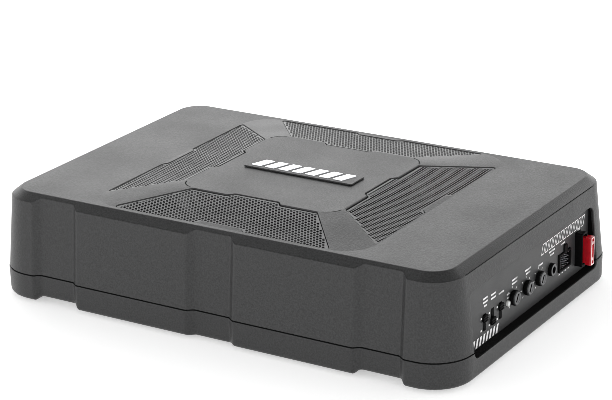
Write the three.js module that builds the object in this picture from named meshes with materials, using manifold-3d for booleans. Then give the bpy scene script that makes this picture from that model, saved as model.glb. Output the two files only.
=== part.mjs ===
// A powered car subwoofer: a flat sealed box with an upward-firing shallow driver under a
// raised grille, and an amplifier whose controls sit in a recess in the +X end wall.
// Millimetres, +Z up, origin on the ground below the middle of the box.
import * as THREE from 'three';
import { mergeVertices } from 'three/addons/utils/BufferGeometryUtils.js';
import Module from 'manifold-3d';

const wasm = await Module();
wasm.setup();

// Driving dimensions -----------------------------------------------------------------

const GAP = 0.3; // kept between pieces that touch
const CUT = 20; // how far a cutting tool runs past what it cuts

const LENGTH = 350; // along X, at the parting line
const DEPTH = 236; // along Y, at the parting line
const CORNER_RADIUS = 27;
const WALL = 2.5;

const BASE_Z = 2; // underside of the base, held up by the feet
const FLOOR_Z = 6; // inside face of the base's floor
const PARTING_Z = 20; // middle of the seam between base and cover
const SEAM = 0.8; // visible gap between base and cover
const REBATE_Z = PARTING_Z - 1.4; // ledge inside the base's rim that the gasket lies on
const REBATE_INSET = 1.1;
const WALL_TOP_Z = 70.3; // foot of the chamfer
const TOP_Z = 75.2; // flat top
const PLATE_Z = 80.3; // raised centre plate
const COVER_INSET = 0.3; // the base stands this proud of the cover
const DRAFT = 5.2; // how far the cover's wall leans in, up to the chamfer
const CHAMFER = 6.5; // how far the chamfer goes in
const TOP_THICKNESS = 3;

const CHANNEL_X = [-123.5, 0, 123.5]; // strap channels down the long walls
const CHANNEL_HALF = 18; // at the wall's surface
const CHANNEL_FLOOR_HALF = 13.6;
const CHANNEL_DEPTH = 3.5;
const GROOVE_HEIGHT = 2.4; // strap grooves under the base at the two end channels

const FRUSTUM_HALF = 103.3; // foot of the raised grille
const FRUSTUM_RADIUS = 22;
const PLATE_HALF = 60; // centre plate
const PLATE_RADIUS = 12;
const MESH_DROP = 0.8; // mesh surface below the frame around it
const BADGE = { halfX: 42.2, halfY: 9, edge: 1.5, height: 1.1, bevel: 0.3 };
const BADGE_BAR = { pitch: 10.4, halfWidth: 3.4, slant: 2.2, halfLength: 6, relief: 0.4 };

const RECESS = { halfY: 88, bottom: 14.8, top: 57.4, radius: 5 };
const PANEL_FACE = 167.9; // X of the control panel's front face
const PANEL_THICKNESS = 2;
const PANEL_BACK = PANEL_FACE - PANEL_THICKNESS;
const BEHIND = PANEL_BACK - GAP; // front of what sits behind the panel

const SWITCHES = {
  auto_on_switch: { y: -62.7, up: 1 },
  input_level_switch: { y: -51.9, up: -1 },
  phase_switch: { y: -41.1, up: 1 },
};
const SWITCH_Z = 29.3;
const SWITCH_SHIFT = 2.7; // each switch rests this far from the middle of its slot
const SLOT = { halfY: 2.2, halfZ: 5.7 };
const LED = { y: -31.2, z: 30.4, radius: 1.9 };
const KNOBS = { bass_boost: -24.2, crossover: -5.2, gain: 12.8 };
const KNOB_Z = 32;
const KNOB_RADIUS = 5;
const SHAFT_RADIUS = 3;
const JACK = { y: 31, z: 31.5, collar: 4.3, bore: 1.8 };
const CONNECTOR = { y0: 41.9, y1: 60, z0: 25, z1: 37.2, key: [50, 54.4], keyZ: 41.8 };
const FUSE = { y: 71.7, z: 32.4, halfY: 2.6, halfZ: 10 };
const HOLDER = { halfY: 3.9, halfZ: 11.8 };

const BOARD = { x0: 112, x1: 165.5, halfY: 85, z0: 20, z1: 21.6 };
const BOARD_TOP = BOARD.z1 + GAP;

const BAFFLE = { halfX: 112, halfY: 105.8, z0: 68.9, z1: 71.9, hole: 90 };
const FLANGE = { outer: 101, inner: 88, z0: 65.6, z1: 68.6 };
const CONE = { rim: 75, neck: 26.4, rimZ: 65.6, neckZ: 45 };
const COIL = { inner: 25, former: 26, winding: 26.9, bottom: 22, top: 47.5 };
const POLE_RADIUS = 24.6;
const TOP_PLATE = { inner: 27.4, outer: 52, z0: 25, z1: 30 };
const MAGNET = { inner: 32, outer: 55, z0: 12.3, z1: 24.7 };
const YOKE = { outer: 52, z0: 7, z1: 12 };
const DRIVER_SCREW_RADIUS = 95; // pitch circle

const SCREW_AT = [153, 104]; // base screws, one in each corner
const FEET_AT = [[158, 88], [97, 103]]; // mirrored into the four quadrants
const FOOT_RADIUS = 7;

// Materials --------------------------------------------------------------------------

const finish = (color, roughness, metalness) =>
  new THREE.MeshStandardMaterial({ color, roughness, metalness });
const powderCoat = () => finish(0x4b4c4e, 0.6, 0.3);
const blackPlastic = () => finish(0x131415, 0.45, 0);
const rubber = () => finish(0x151515, 0.85, 0);
const steel = () => finish(0xa4a7aa, 0.35, 1);
const chrome = () => finish(0xe4e6e8, 0.12, 1);
const aluminium = () => finish(0xb9bcc0, 0.4, 1);
const redPlastic = () => finish(0xb81820, 0.3, 0);
const ceramic = () => finish(0x2b2c2e, 0.7, 0);
const copper = () => finish(0xb4643a, 0.35, 1);
const greenBoard = () => finish(0x1c5a38, 0.5, 0);
const paper = () => finish(0x26272a, 0.9, 0);
const cloth = () => finish(0xa8843f, 0.9, 0);

// Geometry helpers -------------------------------------------------------------------

function signedVolume(position, index) {
  const [a, b, c] = [new THREE.Vector3(), new THREE.Vector3(), new THREE.Vector3()];
  let sum = 0;
  for (let i = 0; i < index.length; i += 3) {
    a.fromArray(position, 3 * index[i]);
    b.fromArray(position, 3 * index[i + 1]);
    c.fromArray(position, 3 * index[i + 2]);
    sum += a.dot(b.cross(c));
  }
  return sum / 6;
}

// Turns a closed three.js geometry into a solid that can be joined and cut.
function solid(geometry) {
  const bare = geometry.clone();
  bare.deleteAttribute('normal');
  bare.deleteAttribute('uv');
  const merged = mergeVertices(bare, 1e-4);
  const vertProperties = Float32Array.from(merged.attributes.position.array);
  const source = merged.index.array;
  const triangles = [];
  for (let i = 0; i < source.length; i += 3) {
    const [a, b, c] = [source[i], source[i + 1], source[i + 2]];
    if (a !== b && b !== c && c !== a) triangles.push(a, b, c);
  }
  if (signedVolume(vertProperties, triangles) < 0) triangles.reverse();
  const triVerts = Uint32Array.from(triangles);
  return new wasm.Manifold(new wasm.Mesh({ numProp: 3, vertProperties, triVerts }));
}

function roundedRect(halfX, halfY, radius, segments = 8) {
  const points = [];
  const corners = [[1, 1], [-1, 1], [-1, -1], [1, -1]];
  corners.forEach(([sx, sy], quarter) => {
    for (let i = 0; i <= segments; i += 1) {
      const angle = (quarter + i / segments) * Math.PI / 2;
      const x = sx * (halfX - radius) + radius * Math.cos(angle);
      const y = sy * (halfY - radius) + radius * Math.sin(angle);
      points.push(new THREE.Vector2(x, y));
    }
  });
  return points;
}

// A solid through horizontal outlines with the same number of points. A level's z is a
// height, or a function of a point that gives one.
function loft(outlines) {
  const clockwise = THREE.ShapeUtils.isClockWise(outlines[0].points);
  const ordered = (points) => (clockwise ? points.toReversed() : points);
  const levels = outlines.map(({ points, z }) => ({ points: ordered(points), z }));
  const count = levels[0].points.length;
  const position = [];
  for (const { points, z } of levels) {
    const height = typeof z === 'function' ? z : () => z;
    for (const p of points) position.push(p.x, p.y, height(p));
  }
  const index = [];
  for (let level = 0; level + 1 < levels.length; level += 1) {
    for (let i = 0; i < count; i += 1) {
      const a = level * count + i;
      const b = level * count + (i + 1) % count;
      index.push(a, b, b + count, a, b + count, a + count);
    }
  }
  const lid = (level, flip) => {
    for (const [a, b, c] of THREE.ShapeUtils.triangulateShape(levels[level].points, [])) {
      const face = flip ? [a, c, b] : [a, b, c];
      index.push(...face.map((i) => i + level * count));
    }
  };
  lid(0, true);
  lid(levels.length - 1, false);
  const geometry = new THREE.BufferGeometry();
  geometry.setAttribute('position', new THREE.Float32BufferAttribute(position, 3));
  geometry.setIndex(index);
  return solid(geometry);
}

const prism = (points, z0, z1) => loft([{ points, z: z0 }, { points, z: z1 }]);

// A profile given in (Y, Z), extruded along X.
function extrudeX(points, x0, x1) {
  const shape = new THREE.Shape(points);
  const geometry = new THREE.ExtrudeGeometry(shape, { depth: x1 - x0, bevelEnabled: false });
  const axes = new THREE.Matrix4().makeBasis(
    new THREE.Vector3(0, 1, 0),
    new THREE.Vector3(0, 0, 1),
    new THREE.Vector3(1, 0, 0),
  );
  geometry.applyMatrix4(axes);
  geometry.translate(x0, 0, 0);
  return solid(geometry);
}

// A profile given in (X, Z), extruded along Y.
function extrudeY(points, y0, y1) {
  const shape = new THREE.Shape(points.map(([x, z]) => new THREE.Vector2(x, z)));
  const geometry = new THREE.ExtrudeGeometry(shape, { depth: y1 - y0, bevelEnabled: false });
  geometry.rotateX(Math.PI / 2);
  geometry.translate(0, y1, 0);
  return solid(geometry);
}

function block(x0, x1, y0, y1, z0, z1) {
  const geometry = new THREE.BoxGeometry(x1 - x0, y1 - y0, z1 - z0);
  geometry.translate((x0 + x1) / 2, (y0 + y1) / 2, (z0 + z1) / 2);
  return solid(geometry);
}

// A block centred at (y, z) of the control panel's face.
const faceBlock = (x0, x1, y, z, halfY, halfZ) =>
  block(x0, x1, y - halfY, y + halfY, z - halfZ, z + halfZ);

function diskZ(x, y, radius, z0, z1, segments = 20) {
  const geometry = new THREE.CylinderGeometry(radius, radius, z1 - z0, segments);
  geometry.rotateX(Math.PI / 2);
  geometry.translate(x, y, (z0 + z1) / 2);
  return solid(geometry);
}

function diskX(y, z, radius, x0, x1, segments = 20) {
  const geometry = new THREE.CylinderGeometry(radius, radius, x1 - x0, segments);
  geometry.rotateZ(Math.PI / 2);
  geometry.translate((x0 + x1) / 2, y, z);
  return solid(geometry);
}

// A closed profile of [radius, height] pairs turned about the Z axis.
function turned(profile, segments = 32) {
  const points = profile.map(([r, z]) => new THREE.Vector2(r, z));
  const onAxis = points[0].x === 0 && points[points.length - 1].x === 0;
  if (!onAxis) points.push(points[0].clone());
  const geometry = new THREE.LatheGeometry(points, segments);
  geometry.rotateX(Math.PI / 2);
  return solid(geometry);
}

const join = (solids) => solids.reduce((whole, piece) => whole.add(piece));
const cut = (whole, tools) => tools.reduce((rest, tool) => rest.subtract(tool), whole);
const quadrants = ([x, y]) => [[x, y], [-x, y], [-x, -y], [x, -y]];

const object = new THREE.Group();
object.name = 'powered_car_subwoofer';

function addPiece(name, shape, material) {
  const { numProp, vertProperties, triVerts } = shape.getMesh();
  const position = [];
  for (let i = 0; i < vertProperties.length; i += numProp) {
    position.push(vertProperties[i], vertProperties[i + 1], vertProperties[i + 2]);
  }
  const geometry = new THREE.BufferGeometry();
  geometry.setAttribute('position', new THREE.Float32BufferAttribute(position, 3));
  geometry.setIndex(Array.from(triVerts));
  geometry.computeVertexNormals();
  const mesh = new THREE.Mesh(geometry, material);
  mesh.name = name;
  object.add(mesh);
}

// The body's outside -----------------------------------------------------------------

const bodyOutline = (inset) =>
  roundedRect(LENGTH / 2 - inset, DEPTH / 2 - inset, CORNER_RADIUS - inset);

// How far in the cover's wall stands at a height, below the chamfer.
const wallInset = (z) =>
  COVER_INSET + (DRAFT - COVER_INSET) * (z - PARTING_Z) / (WALL_TOP_Z - PARTING_Z);

// The six strap channels as cutting prisms that follow the wall. grow widens and deepens
// them, which gives the matching bumps on the inside of the wall.
function channels(z0, z1, insetAt, grow = 0) {
  const spread = (Math.SQRT2 - 1) * grow;
  const flank = (CHANNEL_HALF - CHANNEL_FLOOR_HALF) / CHANNEL_DEPTH;
  const level = (x, side, z) => {
    const wall = DEPTH / 2 - insetAt(z);
    const mouth = CHANNEL_HALF + spread + flank * CUT;
    const floor = CHANNEL_FLOOR_HALF + spread;
    const floorY = wall - CHANNEL_DEPTH - grow;
    const mouthY = wall - grow + CUT;
    const outline = [[-mouth, mouthY], [-floor, floorY], [floor, floorY], [mouth, mouthY]];
    return { points: outline.map(([u, v]) => new THREE.Vector2(x + side * u, side * v)), z };
  };
  const tools = [];
  for (const x of CHANNEL_X) {
    for (const side of [1, -1]) tools.push(loft([level(x, side, z0), level(x, side, z1)]));
  }
  return tools;
}

const recessOutline = (inset) => {
  const halfZ = (RECESS.top - RECESS.bottom) / 2;
  const middle = new THREE.Vector2(0, RECESS.bottom + halfZ);
  const outline = roundedRect(RECESS.halfY - inset, halfZ - inset, RECESS.radius - inset, 4);
  return outline.map((p) => p.add(middle));
};
const recessCut = () => extrudeX(recessOutline(0), PANEL_BACK, LENGTH / 2 + CUT);

// Upper cover ------------------------------------------------------------------------

const frustumOutline = (half, radius) => roundedRect(half, half, radius);

// The grille's sloped face, seen as a plane that rises towards the middle of one side.
const SLOPE = (PLATE_Z - TOP_Z) / (FRUSTUM_HALF - PLATE_HALF);
const slopeHeight = (out) => TOP_Z + SLOPE * (FRUSTUM_HALF - out);

// One grille window, in (out, along) of its own side. Both long edges step inwards at
// their middle, with slanted ends to the step. inset shrinks the outline all round.
function windowOutline(inset) {
  const inner = { out: 60.9, along: 48, step: 4, stepHalf: 17 };
  const outer = { out: 102.8, along: 82, step: 3.4, stepHalf: 15 };
  const rise = (outer.along - inner.along) / (outer.out - inner.out);
  const sideShift = inset * Math.hypot(1, rise);
  const slant = 3.4;
  const edge = (out) => inner.along + rise * (out - inner.out) - sideShift;
  const innerOut = inner.out + inset;
  const outerOut = outer.out - inset;
  const half = [
    [innerOut - inner.step, inner.stepHalf - inset],
    [innerOut, inner.stepHalf + slant - inset],
    [innerOut, edge(innerOut)],
    [outerOut, edge(outerOut)],
    [outerOut, outer.stepHalf + slant + inset],
    [outerOut - outer.step, outer.stepHalf + inset],
  ];
  const mirrored = half.map(([out, along]) => [out, -along]).reverse();
  return [...mirrored, ...half].reverse().map(([x, y]) => new THREE.Vector2(x, y));
}

const SIDES = { right: 0, back: 1, left: 2, front: 3 };
const turnTo = (shape, side) => shape.rotate([0, 0, 90 * SIDES[side]]);

function coverBoss([x, y]) {
  return diskZ(x, y, 4.6, REBATE_Z + 0.4, TOP_Z - 1, 14);
}

function upperCover() {
  const outside = loft([
    { points: bodyOutline(wallInset(PARTING_Z + SEAM / 2)), z: PARTING_Z + SEAM / 2 },
    { points: bodyOutline(DRAFT), z: WALL_TOP_Z },
    { points: bodyOutline(DRAFT + CHAMFER), z: TOP_Z },
  ]);
  const raised = loft([
    { points: frustumOutline(FRUSTUM_HALF, FRUSTUM_RADIUS), z: TOP_Z - 1 },
    { points: frustumOutline(FRUSTUM_HALF, FRUSTUM_RADIUS), z: TOP_Z },
    { points: frustumOutline(PLATE_HALF, PLATE_RADIUS), z: PLATE_Z },
  ]);
  const ceiling = TOP_Z - TOP_THICKNESS;
  const hollow = loft([
    { points: bodyOutline(wallInset(0) + WALL), z: 0 },
    { points: bodyOutline(DRAFT + WALL), z: WALL_TOP_Z - 0.5 },
    { points: bodyOutline(DRAFT + WALL + 3), z: ceiling },
  ]);
  const raisedHollow = loft([
    { points: frustumOutline(FRUSTUM_HALF - 1, FRUSTUM_RADIUS), z: ceiling - 1 },
    { points: frustumOutline(FRUSTUM_HALF - 1, FRUSTUM_RADIUS), z: ceiling },
    { points: frustumOutline(PLATE_HALF - 1, PLATE_RADIUS), z: PLATE_Z - TOP_THICKNESS },
  ]);
  const inside = cut(hollow, channels(-CUT, TOP_Z, wallInset, WALL)).add(raisedHollow);
  const windows = Object.keys(SIDES).map((side) =>
    turnTo(prism(windowOutline(0), BAFFLE.z0, PLATE_Z + CUT), side));
  const bosses = quadrants(SCREW_AT).map((spot) => coverBoss(spot).intersect(outside));
  const threads = quadrants(SCREW_AT).map(([x, y]) => diskZ(x, y, 1.6, 0, 38, 10));
  const shell = cut(outside.add(raised), channels(0, TOP_Z + CUT, wallInset));
  return cut(join([shell.subtract(inside), ...bosses]), [...threads, ...windows, recessCut()]);
}

// Lower base -------------------------------------------------------------------------

const noInset = () => 0;

// What lies inside the base's upright wall, an inset in from its surface all round.
const insideRing = (inset, z0, z1) =>
  cut(prism(bodyOutline(inset), z0, z1), channels(z0 - 1, z1 + 1, noInset, inset));

// A strap groove across the underside, in line with a pair of channels, its flanks at 45 degrees.
function strapGroove(x) {
  const roof = CHANNEL_HALF - GROOVE_HEIGHT;
  const top = BASE_Z + GROOVE_HEIGHT;
  const below = CHANNEL_HALF + 1;
  const profile = [[x - below, BASE_Z - 1], [x + below, BASE_Z - 1], [x + roof, top], [x - roof, top]];
  return extrudeY(profile, -DEPTH, DEPTH);
}

function lowerBase() {
  const rim = PARTING_Z - SEAM / 2;
  const outside = loft([
    { points: bodyOutline(2.8), z: BASE_Z },
    { points: bodyOutline(1.2), z: BASE_Z + 0.8 },
    { points: bodyOutline(0.3), z: BASE_Z + 3 },
    { points: bodyOutline(0), z: rim },
  ]);
  const pan = insideRing(WALL, FLOOR_Z, rim + CUT);
  const rebate = insideRing(REBATE_INSET, REBATE_Z, rim + CUT);
  const tubes = quadrants(SCREW_AT).map(([x, y]) => diskZ(x, y, 5, FLOOR_Z - 1, REBATE_Z, 14));
  const holes = quadrants(SCREW_AT).flatMap(([x, y]) =>
    [diskZ(x, y, 1.9, 0, PARTING_Z, 10), diskZ(x, y, 4, 0, BASE_Z + 2.6, 14)]);
  const grooves = [strapGroove(CHANNEL_X[0]), strapGroove(CHANNEL_X[2])];
  const tray = cut(outside, [pan, ...channels(0, rim + CUT, noInset)]);
  return cut(join([tray, ...tubes]), [rebate, ...holes, ...grooves, recessCut()]);
}

// Lies on the rebate, between the base and the cover, and stops at the control recess.
function seamGasket() {
  const z0 = REBATE_Z + GAP;
  const z1 = PARTING_Z + SEAM / 2 - GAP;
  const outer = insideRing(REBATE_INSET + GAP, z0, z1);
  const inner = insideRing(WALL + 0.2, z0 - 1, z1 + 1);
  const opening = block(PANEL_BACK, LENGTH, -RECESS.halfY - 1, RECESS.halfY + 1, 0, TOP_Z);
  return cut(outer, [inner, opening]);
}

// Grille and badge -------------------------------------------------------------------

// A pressed sheet with its edges folded down, which fills one window.
function meshPanel(side) {
  const height = (drop) => (p) => slopeHeight(p.x) - drop;
  const sheet = 1;
  const fold = 2;
  const tray = loft([
    { points: windowOutline(GAP), z: height(MESH_DROP + fold) },
    { points: windowOutline(GAP), z: height(MESH_DROP) },
  ]);
  const pocket = loft([
    { points: windowOutline(GAP + sheet), z: height(MESH_DROP + fold + 1) },
    { points: windowOutline(GAP + sheet), z: height(MESH_DROP + sheet) },
  ]);
  return turnTo(tray.subtract(pocket), side);
}

// A low plate with a row of plain slanted bars.
function badge() {
  const z0 = PLATE_Z + GAP;
  const { halfX, halfY, edge, height, bevel } = BADGE;
  const plate = loft([
    { points: roundedRect(halfX, halfY, edge, 2), z: z0 },
    { points: roundedRect(halfX, halfY, edge, 2), z: z0 + height - bevel },
    { points: roundedRect(halfX - bevel, halfY - bevel, edge - bevel, 2), z: z0 + height },
  ]);
  const bars = [-3, -2, -1, 0, 1, 2, 3].map((i) => {
    const { pitch, halfWidth, slant, halfLength, relief } = BADGE_BAR;
    const x = i * pitch;
    const foot = [[x - halfWidth - slant, -halfLength], [x + halfWidth - slant, -halfLength]];
    const head = [[x + halfWidth + slant, halfLength], [x - halfWidth + slant, halfLength]];
    const outline = [...foot, ...head].map(([u, v]) => new THREE.Vector2(u, v));
    return prism(outline, z0 + height / 2, z0 + height + relief);
  });
  return join([plate, ...bars]);
}

// Control panel ----------------------------------------------------------------------

const connectorBlocks = (grow, x0, x1) => {
  const c = CONNECTOR;
  return join([
    block(x0, x1, c.y0 - grow, c.y1 + grow, c.z0 - grow, c.z1 + grow),
    block(x0, x1, c.key[0] - grow, c.key[1] + grow, c.z0 - grow, c.keyZ + grow),
  ]);
};
const holderBlock = (grow, x0, x1) =>
  faceBlock(x0, x1, FUSE.y, FUSE.z, HOLDER.halfY + grow, HOLDER.halfZ + grow);

function controlPanel() {
  const x0 = PANEL_BACK - 1;
  const x1 = PANEL_FACE + 1;
  const halfY = RECESS.halfY + 3.5;
  const plate = block(PANEL_BACK, PANEL_FACE, -halfY, halfY, RECESS.bottom - 4.8, RECESS.top + 2.6);
  const slots = Object.values(SWITCHES).map(({ y }) =>
    faceBlock(x0, x1, y, SWITCH_Z, SLOT.halfY, SLOT.halfZ));
  const shaftHoles = Object.values(KNOBS).map((y) => diskX(y, KNOB_Z, SHAFT_RADIUS + 0.5, x0, x1, 16));
  return cut(plate, [
    ...slots,
    ...shaftHoles,
    diskX(LED.y, LED.z, LED.radius + GAP, x0, x1, 12),
    diskX(JACK.y, JACK.z, JACK.collar + GAP, x0, x1, 16),
    connectorBlocks(GAP, x0, x1),
    holderBlock(GAP, x0, x1),
  ]);
}

// Lines the recess, from the panel's face to just inside the wall's surface.
function panelSeal() {
  const x0 = PANEL_FACE + GAP;
  const ring = extrudeX(recessOutline(GAP), x0, LENGTH / 2)
    .subtract(extrudeX(recessOutline(GAP + 1), x0 - 1, LENGTH / 2 + 1));
  const setBack = 0.7;
  const lip = LENGTH / 2 - setBack;
  const wedge = [[x0 - 1, 0], [lip, 0], [lip, PARTING_Z], [lip - wallInset(RECESS.top), RECESS.top],
    [x0 - 1, RECESS.top]];
  return ring.intersect(extrudeY(wedge, -DEPTH / 2, DEPTH / 2));
}

const SWITCH_WELL = 3; // depth of the well that a slider runs in

function switchBody(y) {
  const body = block(BEHIND - 5.5, BEHIND, y - 3.7, y + 3.7, BOARD_TOP, SWITCH_Z + 8.1);
  const well = faceBlock(BEHIND - SWITCH_WELL, BEHIND + 1, y, SWITCH_Z, SLOT.halfY + GAP, SLOT.halfZ + 0.2);
  return body.subtract(well);
}

function switchSlider({ y, up }) {
  const z = SWITCH_Z + up * SWITCH_SHIFT;
  const stem = faceBlock(BEHIND - SWITCH_WELL + GAP, PANEL_FACE + 1, y, z, 1.8, 2);
  const head = faceBlock(PANEL_FACE + 0.4, PANEL_FACE + 1.8, y, z, 2.8, 2.2);
  return stem.add(head);
}

function potBody(y) {
  const body = block(BEHIND - 10, BEHIND, y - 4.7, y + 4.7, BOARD_TOP, KNOB_Z + 5.2);
  return body.subtract(diskX(y, KNOB_Z, SHAFT_RADIUS + GAP, BEHIND - 4, BEHIND + 1, 16));
}

function knob(y) {
  const face = PANEL_FACE + 3.8;
  const shaft = diskX(y, KNOB_Z, SHAFT_RADIUS, BEHIND - 3.7, PANEL_FACE + 1, 16);
  const cap = diskX(y, KNOB_Z, KNOB_RADIUS, PANEL_FACE + 0.4, face, 24);
  const slot = faceBlock(face - 1, face + 1, y, KNOB_Z, 0.6, 3.6);
  return shaft.add(cap).subtract(slot);
}

function powerLed() {
  const geometry = new THREE.SphereGeometry(LED.radius, 12, 6);
  geometry.translate(PANEL_FACE, LED.y, LED.z);
  return solid(geometry).add(diskX(LED.y, LED.z, LED.radius, BEHIND - 4, PANEL_FACE, 12));
}

function remoteJack() {
  const body = block(BEHIND - 12, BEHIND, JACK.y - 5.6, JACK.y + 5.6, BOARD_TOP, JACK.z + 5.4);
  const collar = diskX(JACK.y, JACK.z, JACK.collar, BEHIND - 1, PANEL_FACE + 2.4, 20);
  const bore = diskX(JACK.y, JACK.z, JACK.bore, BEHIND - 10, PANEL_FACE + 5, 12);
  return body.add(collar).subtract(bore);
}

function powerConnector() {
  const c = CONNECTOR;
  const front = PANEL_FACE + 1.2;
  const wall = 1.3;
  const shell = connectorBlocks(0, front - 18, front);
  const socket = block(front - 10, front + 1, c.y0 + wall, c.y1 - wall, c.z0 + wall, c.z1 - wall);
  const pins = [];
  for (const row of [0, 1, 2, 3]) {
    for (const column of [0, 1]) {
      const y = c.y0 + 5 + 6.3 * column;
      const z = c.z0 + 2.6 + 2.4 * row;
      pins.push(block(front - 11, front - 5.2, y - 0.5, y + 0.5, z - 0.5, z + 0.5));
    }
  }
  return join([shell.subtract(socket), ...pins]);
}

const BLADE = { halfY: 0.4, halfZ: 2.6, at: 6.4, length: 8 };
const HOLDER_FRONT = PANEL_FACE + 5.2;
const FUSE_BACK = HOLDER_FRONT - 7; // back of the fuse's plastic body
const FUSE_FRONT = HOLDER_FRONT + 5.9;

function fuseHolder() {
  const head = holderBlock(0, PANEL_BACK, HOLDER_FRONT);
  const tail = block(BEHIND - 16, PANEL_BACK + 0.1, FUSE.y - HOLDER.halfY, FUSE.y + HOLDER.halfY,
    BOARD_TOP, FUSE.z + HOLDER.halfZ);
  const { y, z, halfY, halfZ } = FUSE;
  const seat = faceBlock(FUSE_BACK - GAP, HOLDER_FRONT + 1, y, z, halfY + GAP, halfZ + GAP);
  const end = FUSE_BACK - BLADE.length - 1;
  const slots = [-1, 1].map((side) =>
    faceBlock(end, FUSE_BACK, y, z + side * BLADE.at, BLADE.halfY + GAP, BLADE.halfZ + GAP));
  return cut(join([head, tail]), [seat, ...slots]);
}

function bladeFuse() {
  const { y, z, halfY, halfZ } = FUSE;
  const neck = FUSE_FRONT - 4; // behind the head, the body narrows towards its blades
  const halfBack = halfZ - 1.4;
  const body = extrudeY([
    [FUSE_BACK, z - halfBack],
    [neck, z - halfZ],
    [FUSE_FRONT, z - halfZ],
    [FUSE_FRONT, z + halfZ],
    [neck, z + halfZ],
    [FUSE_BACK, z + halfBack],
  ], y - halfY, y + halfY);
  const blades = [-1, 1].map((side) =>
    faceBlock(FUSE_BACK - BLADE.length, FUSE_BACK + 1, y, z + side * BLADE.at, BLADE.halfY, BLADE.halfZ));
  return join([body, ...blades]);
}

// Amplifier --------------------------------------------------------------------------

const circuitBoard = () => block(BOARD.x0, BOARD.x1, -BOARD.halfY, BOARD.halfY, BOARD.z0, BOARD.z1);

function heatSink() {
  const [x0, x1] = [116, 136];
  const [y0, y1] = [-72, -20];
  const foot = block(x0, x1, y0, y1, BOARD_TOP, BOARD_TOP + 4);
  const fins = [0, 1, 2, 3, 4].map((i) => {
    const y = y0 + i * (y1 - y0 - 3) / 4;
    return block(x0, x1, y, y + 3, BOARD_TOP + 3, 56);
  });
  return join([foot, ...fins]);
}

function toroid() {
  const [x, y] = [132, 52];
  const profile = [[8, 22], [16, 22], [18, 24], [18, 33], [16, 35], [8, 35], [6.5, 33], [6.5, 24]];
  return turned(profile, 20).translate([x, y, 0]);
}

const capacitor = (y) => diskZ(128, y, 8, BOARD_TOP, 50, 20);

// Two-core lead from the board's edge to the back of the driver's basket.
function speakerLead() {
  const path = new THREE.CatmullRomCurve3([
    new THREE.Vector3(BOARD.x0 - GAP, 0, 20.8),
    new THREE.Vector3(98, 0, 21),
    new THREE.Vector3(84, 2, 25),
    new THREE.Vector3(72, 4, 31),
    new THREE.Vector3(62, 4, 33.4),
  ]);
  const section = new THREE.Shape(roundedRect(1.2, 2, 1.1, 2));
  return solid(new THREE.ExtrudeGeometry(section, { steps: 14, extrudePath: path }));
}

// Driver -----------------------------------------------------------------------------

const driverScrewSpots = () => {
  const offset = Math.SQRT1_2 * DRIVER_SCREW_RADIUS;
  return quadrants([offset, offset]);
};

function driverBaffle() {
  const plate = prism(roundedRect(BAFFLE.halfX, BAFFLE.halfY, 6, 3), BAFFLE.z0, BAFFLE.z1);
  const pilots = driverScrewSpots().map(([x, y]) => diskZ(x, y, 1.7, 0, TOP_Z, 8));
  return cut(plate, [diskZ(0, 0, BAFFLE.hole, 0, TOP_Z, 48), ...pilots]);
}

function basket() {
  const bowl = turned([
    [FLANGE.inner, FLANGE.z1], [FLANGE.outer, FLANGE.z1], [FLANGE.outer, FLANGE.z0],
    [FLANGE.inner + 3, FLANGE.z0], [61, 38], [60, 30.3], [34, 30.3], [34, 32.6],
    [54, 32.6], [54, 39.5], [58, 39.5], [FLANGE.inner, FLANGE.z0],
  ], 32);
  const windows = [];
  for (let i = 0; i < 6; i += 1) {
    const tool = block(64, 86, -22, 22, 41.5, 63.4);
    windows.push(tool.rotate([0, 0, 60 * i + 30]));
  }
  const holes = driverScrewSpots().map(([x, y]) => diskZ(x, y, 1.8, 0, TOP_Z, 8));
  return cut(bowl, [...windows, ...holes]);
}

// Half-roll edge that hangs below the flange, from the basket to the cone's rim.
function surround() {
  const thickness = 1;
  const z = FLANGE.z1 - 1.2;
  const lip = FLANGE.inner - GAP;
  const [rollOut, rollIn] = [lip - 1.5, CONE.rim + 1];
  const middle = (rollOut + rollIn) / 2;
  const radius = (rollOut - rollIn) / 2;
  const arc = (r) => {
    const points = [];
    for (let i = 0; i <= 4; i += 1) {
      const angle = Math.PI * i / 4;
      points.push([middle + r * Math.cos(angle), z - r * Math.sin(angle)]);
    }
    return points;
  };
  const under = arc(radius);
  const over = arc(radius - thickness).reverse();
  over[0][1] += thickness;
  over[over.length - 1][1] += thickness;
  return turned([
    [lip, z + thickness],
    [lip, z],
    ...under,
    [CONE.rim - 4, z],
    [CONE.rim - 4, z + thickness],
    ...over,
  ], 32);
}

function cone() {
  const t = 1.2;
  const { rim, neck, rimZ, neckZ } = CONE;
  return turned([
    [rim - 5, rimZ + 1.2], [rim - 1, rimZ + 1.2], [rim - 1, rimZ], [neck + 4, neckZ - t], [neck, neckZ - t],
    [neck, neckZ + 1], [neck + 4, neckZ + 1],
  ], 32);
}

function dustCap() {
  const base = CONE.neckZ + 4.2;
  const [radius, rise, t] = [31, 8, 1];
  const dome = (scale) => {
    const points = [];
    for (let i = 0; i <= 4; i += 1) {
      const angle = Math.PI / 2 * i / 4;
      points.push([scale * radius * Math.cos(angle), base + scale * rise * Math.sin(angle)]);
    }
    points[4][0] = 0;
    return points;
  };
  return turned([...dome((radius - t) / radius).reverse(), ...dome(1)], 24);
}

function voiceCoil() {
  const { inner, former, winding, bottom, top } = COIL;
  return turned([[inner, bottom], [winding, bottom], [winding, bottom + 11], [former, bottom + 11],
    [former, top], [inner, top]], 32);
}

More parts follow.
